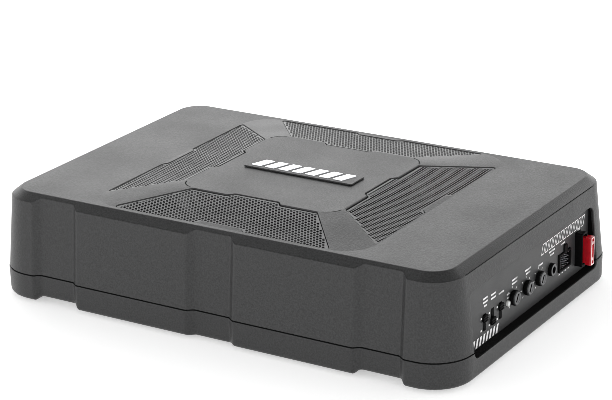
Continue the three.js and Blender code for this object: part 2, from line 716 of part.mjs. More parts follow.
// Corrugated disc between the voice coil and the basket's inner ledge.
function spider() {
  const [r0, r1] = [COIL.former + GAP, 57.6];
  const z = 39.8;
  const waves = 2;
  const steps = 4 * waves;
  const amplitude = 0.9;
  const wave = (lift) => {
    const points = [];
    for (let i = 0; i <= steps; i += 1) {
      const height = amplitude * (1 + Math.sin(Math.PI / 2 * i));
      points.push([r0 + (r1 - r0) * i / steps, z + height + lift]);
    }
    return points;
  };
  return turned([...wave(0), ...wave(0.6).reverse()], 24);
}

const ringOf = ({ inner, outer, z0, z1 }) => turned([[inner, z0], [outer, z0], [outer, z1], [inner, z1]], 32);
const yoke = () => turned([[0, YOKE.z0], [YOKE.outer, YOKE.z0], [YOKE.outer, YOKE.z1],
  [POLE_RADIUS, YOKE.z1], [POLE_RADIUS, TOP_PLATE.z1], [0, TOP_PLATE.z1]], 32);

function driverScrew([x, y]) {
  const head = diskZ(x, y, 3.2, FLANGE.z0 - GAP - 2.2, FLANGE.z0 - GAP, 10);
  return head.add(diskZ(x, y, 1.3, FLANGE.z0 - GAP - 1, BAFFLE.z1 - 0.4, 8));
}

// Feet and base screws ---------------------------------------------------------------

const foot = ([x, y]) => diskZ(x, y, FOOT_RADIUS, 0, BASE_Z - GAP, 20);

function baseScrew([x, y]) {
  const head = diskZ(x, y, 3.6, BASE_Z + 0.2, BASE_Z + 2.3, 14);
  const drive = diskZ(x, y, 1.5, 0, BASE_Z + 1.2, 6);
  return head.subtract(drive).add(diskZ(x, y, 1.3, BASE_Z + 2, 36, 8));
}

// Assembly ---------------------------------------------------------------------------

addPiece('upper_cover', upperCover(), powderCoat());
addPiece('lower_base', lowerBase(), powderCoat());
addPiece('seam_gasket', seamGasket(), rubber());
for (const side of Object.keys(SIDES)) addPiece(`grille_mesh_${side}`, meshPanel(side), powderCoat());
addPiece('badge_plate', badge(), chrome());

addPiece('control_panel', controlPanel(), powderCoat());
addPiece('panel_seal', panelSeal(), rubber());
for (const [name, place] of Object.entries(SWITCHES)) {
  addPiece(`${name}_body`, switchBody(place.y), blackPlastic());
  addPiece(`${name}_slider`, switchSlider(place), blackPlastic());
}
for (const [name, y] of Object.entries(KNOBS)) {
  addPiece(`${name}_potentiometer`, potBody(y), blackPlastic());
  addPiece(`${name}_knob`, knob(y), blackPlastic());
}
addPiece('power_led', powerLed(), finish(0xdfe3e4, 0.2, 0));
addPiece('remote_jack', remoteJack(), blackPlastic());
addPiece('power_connector', powerConnector(), blackPlastic());
addPiece('fuse_holder', fuseHolder(), blackPlastic());
addPiece('blade_fuse', bladeFuse(), redPlastic());

addPiece('amplifier_board', circuitBoard(), greenBoard());
addPiece('heat_sink', heatSink(), aluminium());
addPiece('toroid_transformer', toroid(), copper());
addPiece('capacitor_1', capacitor(4), blackPlastic());
addPiece('capacitor_2', capacitor(22), blackPlastic());
addPiece('speaker_lead', speakerLead(), blackPlastic());

addPiece('driver_baffle', driverBaffle(), blackPlastic());
addPiece('driver_basket', basket(), steel());
addPiece('driver_surround', surround(), rubber());
addPiece('driver_cone', cone(), paper());
addPiece('dust_cap', dustCap(), paper());
addPiece('voice_coil', voiceCoil(), copper());
addPiece('spider', spider(), cloth());
addPiece('magnet_top_plate', ringOf(TOP_PLATE), steel());
addPiece('magnet_ring', ringOf(MAGNET), ceramic());
addPiece('magnet_yoke', yoke(), steel());
driverScrewSpots().forEach((spot, i) => addPiece(`driver_screw_${i + 1}`, driverScrew(spot), steel()));

FEET_AT.flatMap(quadrants).forEach((spot, i) => addPiece(`rubber_foot_${i + 1}`, foot(spot), rubber()));
quadrants(SCREW_AT).forEach((spot, i) => addPiece(`base_screw_${i + 1}`, baseScrew(spot), steel()));

export default object;
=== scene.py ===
"""Visual model of a powered car subwoofer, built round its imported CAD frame.

Shapes are worked out in millimetres, in the frame's own axes, and scaled to metres when
each mesh is made.
"""
import math
from itertools import product

import bmesh
import bpy
from mathutils import Matrix, Vector
from mathutils.geometry import delaunay_2d_cdt


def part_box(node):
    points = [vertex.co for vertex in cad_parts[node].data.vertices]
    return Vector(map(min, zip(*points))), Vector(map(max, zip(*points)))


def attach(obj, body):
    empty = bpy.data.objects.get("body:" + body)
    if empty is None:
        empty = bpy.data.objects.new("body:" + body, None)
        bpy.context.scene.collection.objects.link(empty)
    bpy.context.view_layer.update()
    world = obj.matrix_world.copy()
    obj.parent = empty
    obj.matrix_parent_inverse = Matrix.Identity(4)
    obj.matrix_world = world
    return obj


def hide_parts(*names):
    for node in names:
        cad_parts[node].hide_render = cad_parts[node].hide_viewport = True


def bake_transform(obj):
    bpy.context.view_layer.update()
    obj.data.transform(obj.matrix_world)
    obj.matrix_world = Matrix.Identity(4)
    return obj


MM = 0.001
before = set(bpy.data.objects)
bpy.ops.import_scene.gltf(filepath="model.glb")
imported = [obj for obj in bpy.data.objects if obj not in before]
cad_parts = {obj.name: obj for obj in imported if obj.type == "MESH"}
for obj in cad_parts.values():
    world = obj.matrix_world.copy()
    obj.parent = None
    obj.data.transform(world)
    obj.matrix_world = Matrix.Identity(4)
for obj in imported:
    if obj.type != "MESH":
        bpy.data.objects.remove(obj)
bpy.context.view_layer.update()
ROOT = "enclosure"


def box_mm(node):
    """Lowest and highest corner of a CAD node, in millimetres."""
    low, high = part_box(node)
    return low / MM, high / MM


# Sizes ----------------------------------------------------

BASE_LOW, BASE_HIGH = box_mm("lower_base")
COVER_LOW, COVER_HIGH = box_mm("upper_cover")
HALF_X = BASE_HIGH.x
HALF_Y = BASE_HIGH.y
CORNER = 27.0  # corner radius of the body
STRAIGHT_X = HALF_X - CORNER  # where the straight stretches of the walls end
STRAIGHT_Y = HALF_Y - CORNER
BASE_Z = BASE_LOW.z
PARTING_Z = (BASE_HIGH.z + COVER_LOW.z) / 2
RIM_Z = PARTING_Z - 0.25  # top of the base
COVER_Z = PARTING_Z + 0.25  # bottom of the cover
PLATE_Z = COVER_HIGH.z  # raised centre plate
TOP_Z = PLATE_Z - 5.1  # flat top
WALL_TOP_Z = TOP_Z - 4.9  # foot of the chamfer
COVER_INSET = 0.45  # the base stands this proud of the cover
DRAFT = 5.2  # the cover's wall leans in this far
CHAMFER = 6.5  # the chamfer goes in this far
CREASE = ((0.6, 0.4), (0.7, 0.5))  # (in, up) from the chamfer's foot to its first points
CREASE_GROOVE = ((1.3, 0.0), (0.25, 0.5))  # on the straight of the +X wall it is a dark groove
SKIN = 2.5  # thickness of the walls
BASE_EDGE = 3.0  # radius along the bottom of the base
BASE_DRAFT = 0.3  # the base's wall leans in this far
SUPPORT = 1.5  # an extra column this far inside a straight wall's ends keeps it flat

CHANNELS = (-123.5, 0.0, 123.5)
GROOVED = (-123.5, 123.5)  # channels that go on as strap grooves under the base
CHANNEL_DEPTH = 3.5
CHANNEL_FLOOR = 13.6  # half width
CHANNEL_MOUTH = 18.0
CHANNEL_SOFTNESS = 1.1  # half length of the eased bends
GROOVE_HEIGHT = 2.4
GROOVE_SOFTNESS = 0.6

FRUSTUM_HALF = 103.3
FRUSTUM_RADIUS = 22.0
PLATE_HALF = 60.0
PLATE_RADIUS = 12.0
WINDOW_RIM = 0.45  # radius of the rounded edge round a window
MESH_DROP = 0.45  # the perforated sheet lies this far below the frame round it
MESH_GAP = 0.3  # between the sheet and the frame
PLATE_GAP = 0.9  # and this much more on the side of the plate
PLATE_LINE = (0.45, 0.9)  # half width and depth of the groove round the plate's corners
HOLE_PITCH = 2.25
HOLE_RADIUS = 0.9
SHEET = 0.16  # depth of the holes' walls

RECESS_HALF = 88.0
RECESS_LOW = 14.8
RECESS_HIGH = 57.4
RECESS_RADIUS = 5.0
PANEL_X = box_mm("control_panel")[1].x
KNOB_TILT = 30.0  # the knobs' slots lean this far clockwise, in degrees
CONNECTOR_KEY = (50.0, 54.4)  # the tab on top of the power connector, along Y
CONNECTOR_KEY_HEIGHT = 4.6
PRINT_LEVELS = (0.02, 0.07)  # back and front of the print on the panel
CRISP = 32  # edges of small parts over this angle are sharp, in degrees

# Materials ------------------------------------------------


def shader(name, color, roughness, metallic=0.0, specular=0.5):
    """A node material with its principled shader, and its node tree."""
    material = bpy.data.materials.new(name)
    material.use_nodes = True
    tree = material.node_tree
    bsdf = tree.nodes["Principled BSDF"]
    bsdf.inputs["Base Color"].default_value = (*color, 1)
    bsdf.inputs["Roughness"].default_value = roughness
    bsdf.inputs["Metallic"].default_value = metallic
    bsdf.inputs["Specular IOR Level"].default_value = specular
    return material, tree, bsdf


def noise(tree, size, detail=2.0, stretch=(1, 1, 1)):
    """Noise whose features are about size millimetres across."""
    coordinates = tree.nodes.new("ShaderNodeTexCoord")
    mapping = tree.nodes.new("ShaderNodeMapping")
    mapping.inputs["Scale"].default_value = stretch
    texture = tree.nodes.new("ShaderNodeTexNoise")
    texture.inputs["Scale"].default_value = 1 / (size * MM)
    texture.inputs["Detail"].default_value = detail
    tree.links.new(coordinates.outputs["Object"], mapping.inputs["Vector"])
    tree.links.new(mapping.outputs["Vector"], texture.inputs["Vector"])
    return texture.outputs["Fac"]


def remap(tree, value, low, high):
    """Stretches the middle of a noise value over a new range."""
    node = tree.nodes.new("ShaderNodeMapRange")
    node.inputs["From Min"].default_value = 0.3
    node.inputs["From Max"].default_value = 0.7
    node.inputs["To Min"].default_value = low
    node.inputs["To Max"].default_value = high
    tree.links.new(value, node.inputs["Value"])
    return node.outputs["Result"]


def tint(tree, bsdf, value, color, low, high):
    """Varies the base colour between low and high times its brightness."""
    mix = tree.nodes.new("ShaderNodeMix")
    mix.data_type = "RGBA"
    mix.inputs["A"].default_value = (*(c * low for c in color), 1)
    mix.inputs["B"].default_value = (*(c * high for c in color), 1)
    tree.links.new(remap(tree, value, 0, 1), mix.inputs["Factor"])
    tree.links.new(mix.outputs["Result"], bsdf.inputs["Base Color"])


def bump(tree, bsdf, value, height, strength=1.0):
    """Surface relief of height millimetres."""
    node = tree.nodes.new("ShaderNodeBump")
    node.inputs["Distance"].default_value = height * MM
    node.inputs["Strength"].default_value = strength
    tree.links.new(value, node.inputs["Height"])
    tree.links.new(node.outputs["Normal"], bsdf.inputs["Normal"])


def textured(name, color, roughness, grain, relief, spread=0.12, metallic=0.0, specular=0.5):
    """Moulded or coated surface: a fine grain in relief, tone and gloss."""
    material, tree, bsdf = shader(name, color, roughness, metallic, specular)
    fine = noise(tree, grain, 3)
    tint(tree, bsdf, fine, color, 1 - spread, 1 + spread)
    patchy = noise(tree, 40 * grain, 3)
    gloss = remap(tree, patchy, roughness - 0.04, roughness + 0.04)
    tree.links.new(gloss, bsdf.inputs["Roughness"])
    bump(tree, bsdf, fine, relief)
    return material


def brushed(name, color, roughness, stretch):
    """Bare metal with fine scratches along one axis."""
    material, tree, bsdf = shader(name, color, roughness, 1.0)
    lines = noise(tree, 0.5, 4, stretch)
    tint(tree, bsdf, lines, color, 0.85, 1.1)
    tree.links.new(remap(tree, lines, roughness - 0.08, roughness + 0.1), bsdf.inputs["Roughness"])
    bump(tree, bsdf, lines, 0.02)
    return material


def clear_plastic(name, color, transmission, roughness=0.18):
    """Coloured see-through moulding, with faint flow marks."""
    material, tree, bsdf = shader(name, color, roughness)
    bsdf.inputs["Transmission Weight"].default_value = transmission
    bsdf.inputs["IOR"].default_value = 1.5
    flow = noise(tree, 3, 2)
    tint(tree, bsdf, flow, color, 0.85, 1.15)
    bump(tree, bsdf, flow, 0.03)
    return material


def woven(name, color, pitch):
    """Cloth with a plain weave."""
    material, tree, bsdf = shader(name, color, 0.85)
    coordinates = tree.nodes.new("ShaderNodeTexCoord")
    waves = []
    for direction in ("X", "Y"):
        wave = tree.nodes.new("ShaderNodeTexWave")
        wave.bands_direction = direction
        wave.inputs["Scale"].default_value = 1 / (pitch * MM)
        wave.inputs["Distortion"].default_value = 0.6
        tree.links.new(coordinates.outputs["Object"], wave.inputs["Vector"])
        waves.append(wave.outputs["Fac"])
    product = tree.nodes.new("ShaderNodeMath")
    product.operation = "MULTIPLY"
    tree.links.new(waves[0], product.inputs[0])
    tree.links.new(waves[1], product.inputs[1])
    tint(tree, bsdf, product.outputs["Value"], color, 0.7, 1.2)
    bump(tree, bsdf, product.outputs["Value"], 0.15)
    return material


BODY_TONE = (0.016, 0.0162, 0.0166)
COAT = textured("powder_coat", BODY_TONE, 0.4, 1.1, 0.14, 0.5, specular=0.44)
MESH_COAT = textured("grille_coat", (0.08, 0.081, 0.0825), 0.36, 0.5, 0.03)
PANEL_COAT = textured("panel_coat", (0.024, 0.0243, 0.025), 0.45, 0.5, 0.04, 0.3)
BLACK = textured("black_plastic", (0.0022, 0.0022, 0.0023), 0.5, 0.4, 0.03, 0.2, specular=0.06)
KNOB_FACE = textured("knob_plastic", (0.06, 0.061, 0.063), 0.34, 0.35, 0.02)
RUBBER = textured("black_rubber", (0.002, 0.002, 0.002), 0.85, 0.6, 0.04, 0.25, specular=0.05)
BEZEL = textured("led_bezel", (0.5, 0.5, 0.49), 0.4, 0.3, 0.01)
BUTYL = textured("surround_rubber", (0.008, 0.008, 0.0085), 0.5, 0.5, 0.03, 0.2, specular=0.3)
PRINT = textured("white_print", (0.75, 0.75, 0.75), 0.5, 0.3, 0.005, 0.06)
PAPER = textured("cone_paper", (0.006, 0.006, 0.0065), 0.85, 1.6, 0.15, 0.3, specular=0.2)
BASKET_PAINT = textured("basket_paint", (0.004, 0.004, 0.0042), 0.5, 0.5, 0.02, 0.2, specular=0.1)
FERRITE = textured("ferrite", (0.03, 0.03, 0.032), 0.6, 0.8, 0.05, 0.2)
BOARD = textured("circuit_board", (0.012, 0.1, 0.045), 0.4, 2.5, 0.03, 0.25)
CHROME = textured("chrome_badge", (0.85, 0.86, 0.88), 0.12, 2.0, 0.004, 0.03, 1.0)
STEEL = brushed("plated_steel", (0.5, 0.5, 0.52), 0.32, (1, 1, 12))
ALUMINIUM = brushed("bare_aluminium", (0.6, 0.61, 0.63), 0.36, (1, 12, 1))
COPPER = brushed("copper_wire", (0.55, 0.22, 0.1), 0.35, (1, 1, 10))
FUSE_RED = clear_plastic("fuse_red", (0.48, 0.008, 0.016), 0.25)
FUSE_PALE = clear_plastic("fuse_pale", (0.85, 0.6, 0.6), 0.1, 0.3)
LENS = clear_plastic("led_lens", (0.8, 0.82, 0.82), 0.3, 0.15)
SPIDER_CLOTH = woven("spider_cloth", (0.32, 0.2, 0.06), 0.6)

# Mesh helpers ---------------------------------------------


def in_polygon(point, polygon):
    """True if a point is inside a closed outline."""
    inside = False
    for (x0, y0), (x1, y1) in zip(polygon, polygon[1:] + polygon[:1]):
        if (y0 > point[1]) != (y1 > point[1]):
            if point[0] < x0 + (x1 - x0) * (point[1] - y0) / (y1 - y0):
                inside = not inside
    return inside


class Skin:
    """Gathers patches of faces, in millimetres, and welds them into one mesh. Edges over
    crisp degrees are sharp. Without crisp, only the borders between patches and the
    steepest edges are."""

    def __init__(self, crisp=None):
        self.crisp = crisp
        self.mesh = bmesh.new()
        self.patch = self.mesh.faces.layers.int.new("patch")
        self.patches = 0

    def add(self, points, faces):
        """One patch of faces, each a list of places in points."""
        self.patches += 1
        corners = [self.mesh.verts.new(Vector(p) * MM) for p in points]
        for indices in faces:
            face = self.mesh.faces.new([corners[i] for i in indices])
            face[self.patch] = self.patches
            face.smooth = True

    def grid(self, columns, closed=False, keep=lambda i, j: True):
        """Quads between neighbouring columns of points. keep(i, j) leaves gaps."""
        rows = len(columns[0])
        points = [p for column in columns for p in column]
        faces = []
        for i in range(len(columns) if closed else len(columns) - 1):
            k = (i + 1) % len(columns)
            for j in range(rows - 1):
                if keep(i, j):
                    faces.append((i * rows + j, k * rows + j, k * rows + j + 1, i * rows + j + 1))
        self.add(points, faces)

    def rings(self, loops, closed=True):
        """Quads between neighbouring loops, which have the same number of points."""
        self.grid([list(column) for column in zip(*loops)], closed)

    def fill(self, outer, holes, place):
        """A flat outline in 2D with its holes left open, set in space by place(u, v)."""
        loops = [list(outer), *[list(hole) for hole in holes]]
        points = [Vector(p) for loop in loops for p in loop]
        owner = [n for n, loop in enumerate(loops) for _ in loop]
        edges = []
        start = 0
        for loop in loops:
            count = len(loop)
            edges += [(start + i, start + (i + 1) % count) for i in range(count)]
            start += count
        made, _, faces, origins, _, _ = delaunay_2d_cdt(points, edges, [], 1, 1e-6)
        source = [owner[o[0]] if o else 0 for o in origins]
        kept = []
        for face in faces:
            of = {source[i] for i in face}
            if len(of) == 1 and 0 not in of:
                middle = sum((made[i] for i in face), Vector((0, 0))) / len(face)
                if in_polygon(middle, loops[of.pop()]):
                    continue
            kept.append(face)
        self.add([place(*p) for p in made], kept)

    def finish(self, name, material, body=ROOT, replaces=()):
        """Welds the patches, turns the faces outwards and makes the object."""
        mesh = self.mesh
        bmesh.ops.remove_doubles(mesh, verts=mesh.verts, dist=2e-6)
        bmesh.ops.dissolve_degenerate(mesh, edges=mesh.edges, dist=1e-7)
        bmesh.ops.recalc_face_normals(mesh, faces=mesh.faces)
        for edge in mesh.edges:
            if len(edge.link_faces) == 2:
                inside = len({face[self.patch] for face in edge.link_faces}) == 1
                limit = self.crisp or (60 if inside else 2)
                edge.smooth = math.degrees(edge.calc_face_angle(0)) < limit
        data = bpy.data.meshes.new(name)
        mesh.to_mesh(data)
        mesh.free()
        data.attributes.remove(data.attributes["patch"])
        piece = bpy.data.objects.new(name, data)
        bpy.context.scene.collection.objects.link(piece)
        piece.data.materials.append(material)
        if body:
            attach(piece, body)
        if replaces:
            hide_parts(*replaces)
        return piece


def out_of_panel(y, z, level):
    """A point level millimetres in front of the control panel."""
    return (PANEL_X + level, y, z)


class PanelSkin(Skin):
    """A skin for parts on the control panel. Outlines are (y, z) points."""

    def __init__(self):
        super().__init__(CRISP)

    def tube(self, sections):
        """Walls through (outline, level) sections."""
        self.rings([[out_of_panel(*p, level) for p in outline] for outline, level in sections])

    def cap(self, outline, level, holes=()):
        """A flat face at a level."""
        self.fill(outline, holes, lambda y, z: out_of_panel(y, z, level))

    def well(self, outline, mouth, floor):
        """A recess with straight walls, between two levels."""
        self.tube([(outline, mouth), (outline, floor)])
        self.cap(outline, floor)


def arc(centre, radius, start, end, steps):
    """Points on a 2D arc, angles in degrees."""
    points = []
    for i in range(steps + 1):
        angle = math.radians(start + (end - start) * i / steps)
        points.append((centre[0] + radius * math.cos(angle), centre[1] + radius * math.sin(angle)))
    return points


def rounded_rect(half_x, half_y, radius, steps=8, centre=(0, 0)):
    """Outline of a rectangle with round corners, counter-clockwise."""
    points = []
    corners = ((1, 1), (-1, 1), (-1, -1), (1, -1))
    for quarter, (sx, sy) in enumerate(corners):
        middle = (centre[0] + sx * (half_x - radius), centre[1] + sy * (half_y - radius))
        points += arc(middle, radius, 90 * quarter, 90 * quarter + 90, steps)
    return points


def fillet(points, radii, steps=4, closed=False, support=0.0):
    """Rounds the corners of a 2D line. support adds a point on each straight just
    beyond the arc, which keeps flat faces looking flat."""
    made = []
    count = len(points)
    for i, (point, radius) in enumerate(zip(points, radii)):
        corner = Vector(point)
        if radius == 0 or (not closed and i in (0, count - 1)):
            made.append(corner)
            continue
        back = Vector(points[i - 1]) - corner
        on = Vector(points[(i + 1) % count]) - corner
        back.normalize()
        on.normalize()
        half = back.angle(on) / 2
        length = radius / math.tan(half)
        bisector = (back + on).normalized()
        centre = corner + bisector * (radius / math.sin(half))
        first = corner + back * length - centre
        last = corner + on * length - centre
        sweep = first.angle_signed(last)
        if support:
            made.append(corner + back * (length + support))
        for k in range(steps + 1):
            turn = Matrix.Rotation(-sweep * k / steps, 2)
            made.append(centre + turn @ first)
        if support:
            made.append(corner + on * (length + support))
    return made


def grow(outline, distance):
    """Moves a closed counter-clockwise outline outwards."""
    made = []
    count = len(outline)
    for i in range(count):
        point = Vector(outline[i])
        before = (point - Vector(outline[i - 1])).normalized()
        after = (Vector(outline[(i + 1) % count]) - point).normalized()
        normal = (Vector((before.y, -before.x)) + Vector((after.y, -after.x))).normalized()
        spread = max(0.5, normal.dot(Vector((after.y, -after.x))))
        made.append(point + normal * (distance / spread))
    return made


def face_z(z):
    """Places (x, y) on a level plane."""
    return lambda x, y: (x, y, z)


def slanted_bar(u, v, half_u, half_v, slant=0.0):
    """Outline of a bar round (u, v) whose top leans to +u by slant, and its foot to -u."""
    return [
        (u - half_u - slant, v - half_v),
        (u + half_u - slant, v - half_v),
        (u + half_u + slant, v + half_v),
        (u - half_u + slant, v + half_v),
    ]


def lathe(name, profile, centre, axis, material, segments=32, ripple=None, **given):
    """Turns (radius, height) points about an axis through centre. ripple(i) scales the
    radius of each segment."""
    skin = Skin(CRISP)
    columns = []
    for i in range(segments):
        angle = math.tau * i / segments
        factor = ripple(i) if ripple else 1
        column = []
        for radius, height in profile:
            u = radius * factor * math.cos(angle)
            v = radius * factor * math.sin(angle)
            turned = (height, u, v) if axis == "x" else (u, v, height)
            column.append(Vector(centre) + Vector(turned))
        columns.append(column)
    skin.grid(columns, closed=True)
    return skin.finish(name, material, **given)


def rounded_edge(radius, steps):
    """(in, down) at points round a rounded edge, from its side to its face."""
    angles = [math.pi / 2 * k / steps for k in range(steps + 1)]
    return [(radius * (1 - math.cos(a)), radius * (1 - math.sin(a))) for a in angles]


def prism(skin, outline, place, start, end, bevel=0.0, steps=2):
    """A solid between two levels of place(u, v, level), with its end edge rounded."""
    direction = 1 if end > start else -1
    loops = [[place(u, v, start) for u, v in outline]]
    for inset, drop in rounded_edge(bevel, steps) if bevel else [(0, 0)]:
        loops.append([place(u, v, end - direction * drop) for u, v in grow(outline, -inset)])
    skin.rings(loops)
    skin.fill(outline, [], lambda u, v: place(u, v, start))
    skin.fill(grow(outline, -bevel), [], lambda u, v: place(u, v, end))


def numbered(name, count):
    """Names of the nodes that differ only in their number."""
    return [name + "_" + str(i + 1) for i in range(count)]


# Body -----------------------------------------------------


def blended_ramp(t, flat_end, slope_end, height, softness):
    """height inside flat_end, 0 beyond slope_end, with both bends eased."""
    slope = -height / (slope_end - flat_end)
    if t <= flat_end - softness:
        return height
    if t < flat_end + softness:
        return height + slope * (t - flat_end + softness) ** 2 / (4 * softness)
    if t <= slope_end - softness:
        return height + slope * (t - flat_end)
    if t < slope_end + softness:
        return -slope * (slope_end + softness - t) ** 2 / (4 * softness)
    return 0.0


def channel_depth(x):
    """How deep the strap channels are at a place on a long wall. x is None elsewhere."""
    if x is None:
        return 0.0
    t = min(abs(x - middle) for middle in CHANNELS)
    return blended_ramp(t, CHANNEL_FLOOR, CHANNEL_MOUTH, CHANNEL_DEPTH, CHANNEL_SOFTNESS)


def groove_height(x):
    """How high the strap grooves under the base are at a place along X. x is None at the
    ends and corners."""
    if x is None:
        return 0.0
    t = min(abs(x - middle) for middle in GROOVED)
    top = CHANNEL_MOUTH - GROOVE_HEIGHT
    return blended_ramp(t, top, CHANNEL_MOUTH, GROOVE_HEIGHT, GROOVE_SOFTNESS)


def wall_stations():
    """Places along a long wall where its shape changes, from -X to +X."""
    places = {side * x for side in (1, -1) for x in (STRAIGHT_X, STRAIGHT_X - SUPPORT)}

    def add(middles, bends, shifts):
        for middle, bend, shift, side in product(middles, bends, shifts, (1, -1)):
            places.add(round(middle + side * (bend + shift), 4))

    soft = CHANNEL_SOFTNESS
    steps = [soft * k / 2 for k in range(-2, 3)]
    add(CHANNELS, (CHANNEL_FLOOR, CHANNEL_MOUTH), [-soft - 0.8, *steps, soft + 0.8])
    steps = [GROOVE_SOFTNESS * k for k in range(-2, 3)]
    add(GROOVED, (CHANNEL_MOUTH - GROOVE_HEIGHT, CHANNEL_MOUTH), steps)
    return sorted(places)


def perimeter():
    """Columns round the body, counter-clockwise from the front wall: each is a point on
    the outline, the outward direction, and the place along X on a long wall or None."""
    stations = wall_stations()
    arc_steps = 14
    columns = [(Vector((x, -HALF_Y)), Vector((0, -1)), x) for x in stations]

    def corner(sx, sy, start):
        for k in range(1, arc_steps):
            angle = math.radians(start + 90 * k / arc_steps)
            out = Vector((math.cos(angle), math.sin(angle)))
            yield (Vector((sx * STRAIGHT_X, sy * STRAIGHT_Y)) + CORNER * out, out, None)

    def end_wall(side):
        for y in (-STRAIGHT_Y, SUPPORT - STRAIGHT_Y, STRAIGHT_Y - SUPPORT, STRAIGHT_Y):
            yield (Vector((side * HALF_X, side * y)), Vector((side, 0)), None)

    columns += corner(1, -1, -90)
    columns += end_wall(1)
    columns += corner(1, 1, 0)
    columns += [(Vector((x, HALF_Y)), Vector((0, 1)), x) for x in reversed(stations)]
    columns += corner(-1, 1, 90)
    columns += end_wall(-1)
    columns += corner(-1, -1, 180)
    return columns


def wall_inset(z):
    """How far in the cover's wall stands at a height."""
    return COVER_INSET + (DRAFT - COVER_INSET) * (z - PARTING_Z) / (WALL_TOP_Z - PARTING_Z)


def cover_profile(depth, grooved=False):
    """(inset, z) up the cover's wall, over the crease and the chamfer, where a channel is
    depth deep. All profiles have the same number of points."""
    lean = (DRAFT - COVER_INSET) / (WALL_TOP_Z - PARTING_Z)
    pitch = CHAMFER / (TOP_Z - WALL_TOP_Z)
    rise = depth / (pitch - lean)
    inset, height = DRAFT + rise * pitch, WALL_TOP_Z + rise
    foot = wall_inset(COVER_Z) + depth
    line = [
        (foot + SKIN, COVER_Z + 8),
        (foot + SKIN, COVER_Z),
        (foot, COVER_Z),
        (inset, height),
        *[(inset + u, height + v) for u, v in (CREASE_GROOVE if grooved else CREASE)],
        (DRAFT + CHAMFER, TOP_Z),
        (DRAFT + CHAMFER + 1.6, TOP_Z),
    ]
    return fillet(line, [0, 0, 0.3, 0.15, 0.05, 0.15, 1.3, 0], 3, support=0.15)


COVER_CREASE_ROW = 8  # where a cover profile's upright wall ends


def base_profile(depth, groove):
    """(inset, z) from inside the base's rim, over it, and down to the bottom edge."""
    bottom = BASE_Z + groove
    line = [
        (depth + SKIN, RIM_Z - 6),
        (depth + SKIN, RIM_Z),
        (depth, RIM_Z),
        (depth + BASE_DRAFT, bottom),
        (depth + BASE_EDGE + 2.2, bottom),
    ]
    return fillet(line, [0, 0, 0.25, BASE_EDGE, 0], 6, support=0.25)


BASE_EDGE_ROW = 11  # where a base profile's upright wall ends


def body_walls(skin, profile, crease_row):
    """Sweeps profile(point, out, x) round the body, and gives back its columns of points.
    The middle stretch of the +X wall is left out below crease_row, for the recess."""
    columns = perimeter()
    grid = []
    for point, out, x in columns:
        grid.append([Vector((*(point - out * inset), z)) for inset, z in profile(point, out, x)])

    def is_end_wall(column):
        point, out, _ = column
        return out.x > 0.999 and abs(point.y) < STRAIGHT_Y + 0.01

    def keep(i, j):
        ends = (columns[i], columns[(i + 1) % len(columns)])
        return j >= crease_row or not all(is_end_wall(column) for column in ends)

    skin.grid(grid, closed=True, keep=keep)
    return grid


def recess_edge(outset, lower):
    """The control recess's edge in the +X wall as (y, z), from -Y to +Y. lower is the
    part in the base, otherwise the part in the cover."""
    radius = RECESS_RADIUS + outset
    side = RECESS_HALF - RECESS_RADIUS
    if lower:
        height = RECESS_LOW + RECESS_RADIUS
        start = math.degrees(math.asin((height - RIM_Z) / radius))
        left = arc((-side, height), radius, 180 + start, 270, 6)
    else:
        height = RECESS_HIGH - RECESS_RADIUS
        left = [(-side - radius, COVER_Z)] + arc((-side, height), radius, 180, 90, 6)
    return left + [(-y, z) for y, z in reversed(left)]


def recess_opening(skin, lower, surface):
    """The stretch of the +X wall round the recess, with the recess's rounded rim.
    surface(z) is the wall's X."""
    edge = 0.7
    rim = recess_edge(edge, lower)
    if lower:
        seam, end = RIM_Z, base_profile(0, 0)[BASE_EDGE_ROW].y
    else:
        seam, end = COVER_Z, cover_profile(0)[COVER_CREASE_ROW].y
    wall = [(-STRAIGHT_Y, seam), *rim, (STRAIGHT_Y, seam), (STRAIGHT_Y, end), (-STRAIGHT_Y, end)]
    skin.fill(wall, [], lambda y, z: (surface(z), y, z))
    loops = []
    for depth, outset in rounded_edge(edge, 4):
        path = recess_edge(outset, lower)
        loops.append([(surface(z) - depth, y, z) for y, z in path])
    loops.append([(PANEL_X + 0.3, y, z) for y, z in recess_edge(0, lower)])
    skin.rings(loops, closed=False)


SIDES = {"right": 0, "back": 90, "left": 180, "front": 270}


def on_side(side):
    """Turns a point given for the +X side to another side of the grille."""
    turn = Matrix.Rotation(math.radians(SIDES[side]), 3, "Z")
    return lambda x, y, z: turn @ Vector((x, y, z))


def slope_height(out, along=0.0):
    """Height of the raised grille, on its sloping faces and on the round corners between
    them. Every level of it is a rounded square, from the foot up to the plate."""
    head, foot = PLATE_HALF - PLATE_RADIUS, FRUSTUM_HALF - FRUSTUM_RADIUS
    share = (out - PLATE_HALF) / (FRUSTUM_HALF - PLATE_HALF)
    shift, spread = foot - head, FRUSTUM_RADIUS - PLATE_RADIUS
    if abs(along) > head + shift * share:
        u, v = out - head, abs(along) - head
        a = 2 * shift ** 2 - spread ** 2
        b = -2 * shift * (u + v) - 2 * PLATE_RADIUS * spread
        c = u ** 2 + v ** 2 - PLATE_RADIUS ** 2
        share = (-b - math.sqrt(b ** 2 - 4 * a * c)) / (2 * a)
    return PLATE_Z + (TOP_Z - PLATE_Z) * share


def frame_height(out, along):
    """Height of the solid part round the windows, which is level beyond the plate's edge."""
    return min(PLATE_Z, slope_height(out, along))


def corner_arcs():
    """The round corner's foot and head, from the +X side to the +Y side."""
    foot = FRUSTUM_HALF - FRUSTUM_RADIUS
    head = PLATE_HALF - PLATE_RADIUS
    return arc((foot, foot), FRUSTUM_RADIUS, 0, 90, 10), arc((head, head), PLATE_RADIUS, 0, 90, 10)


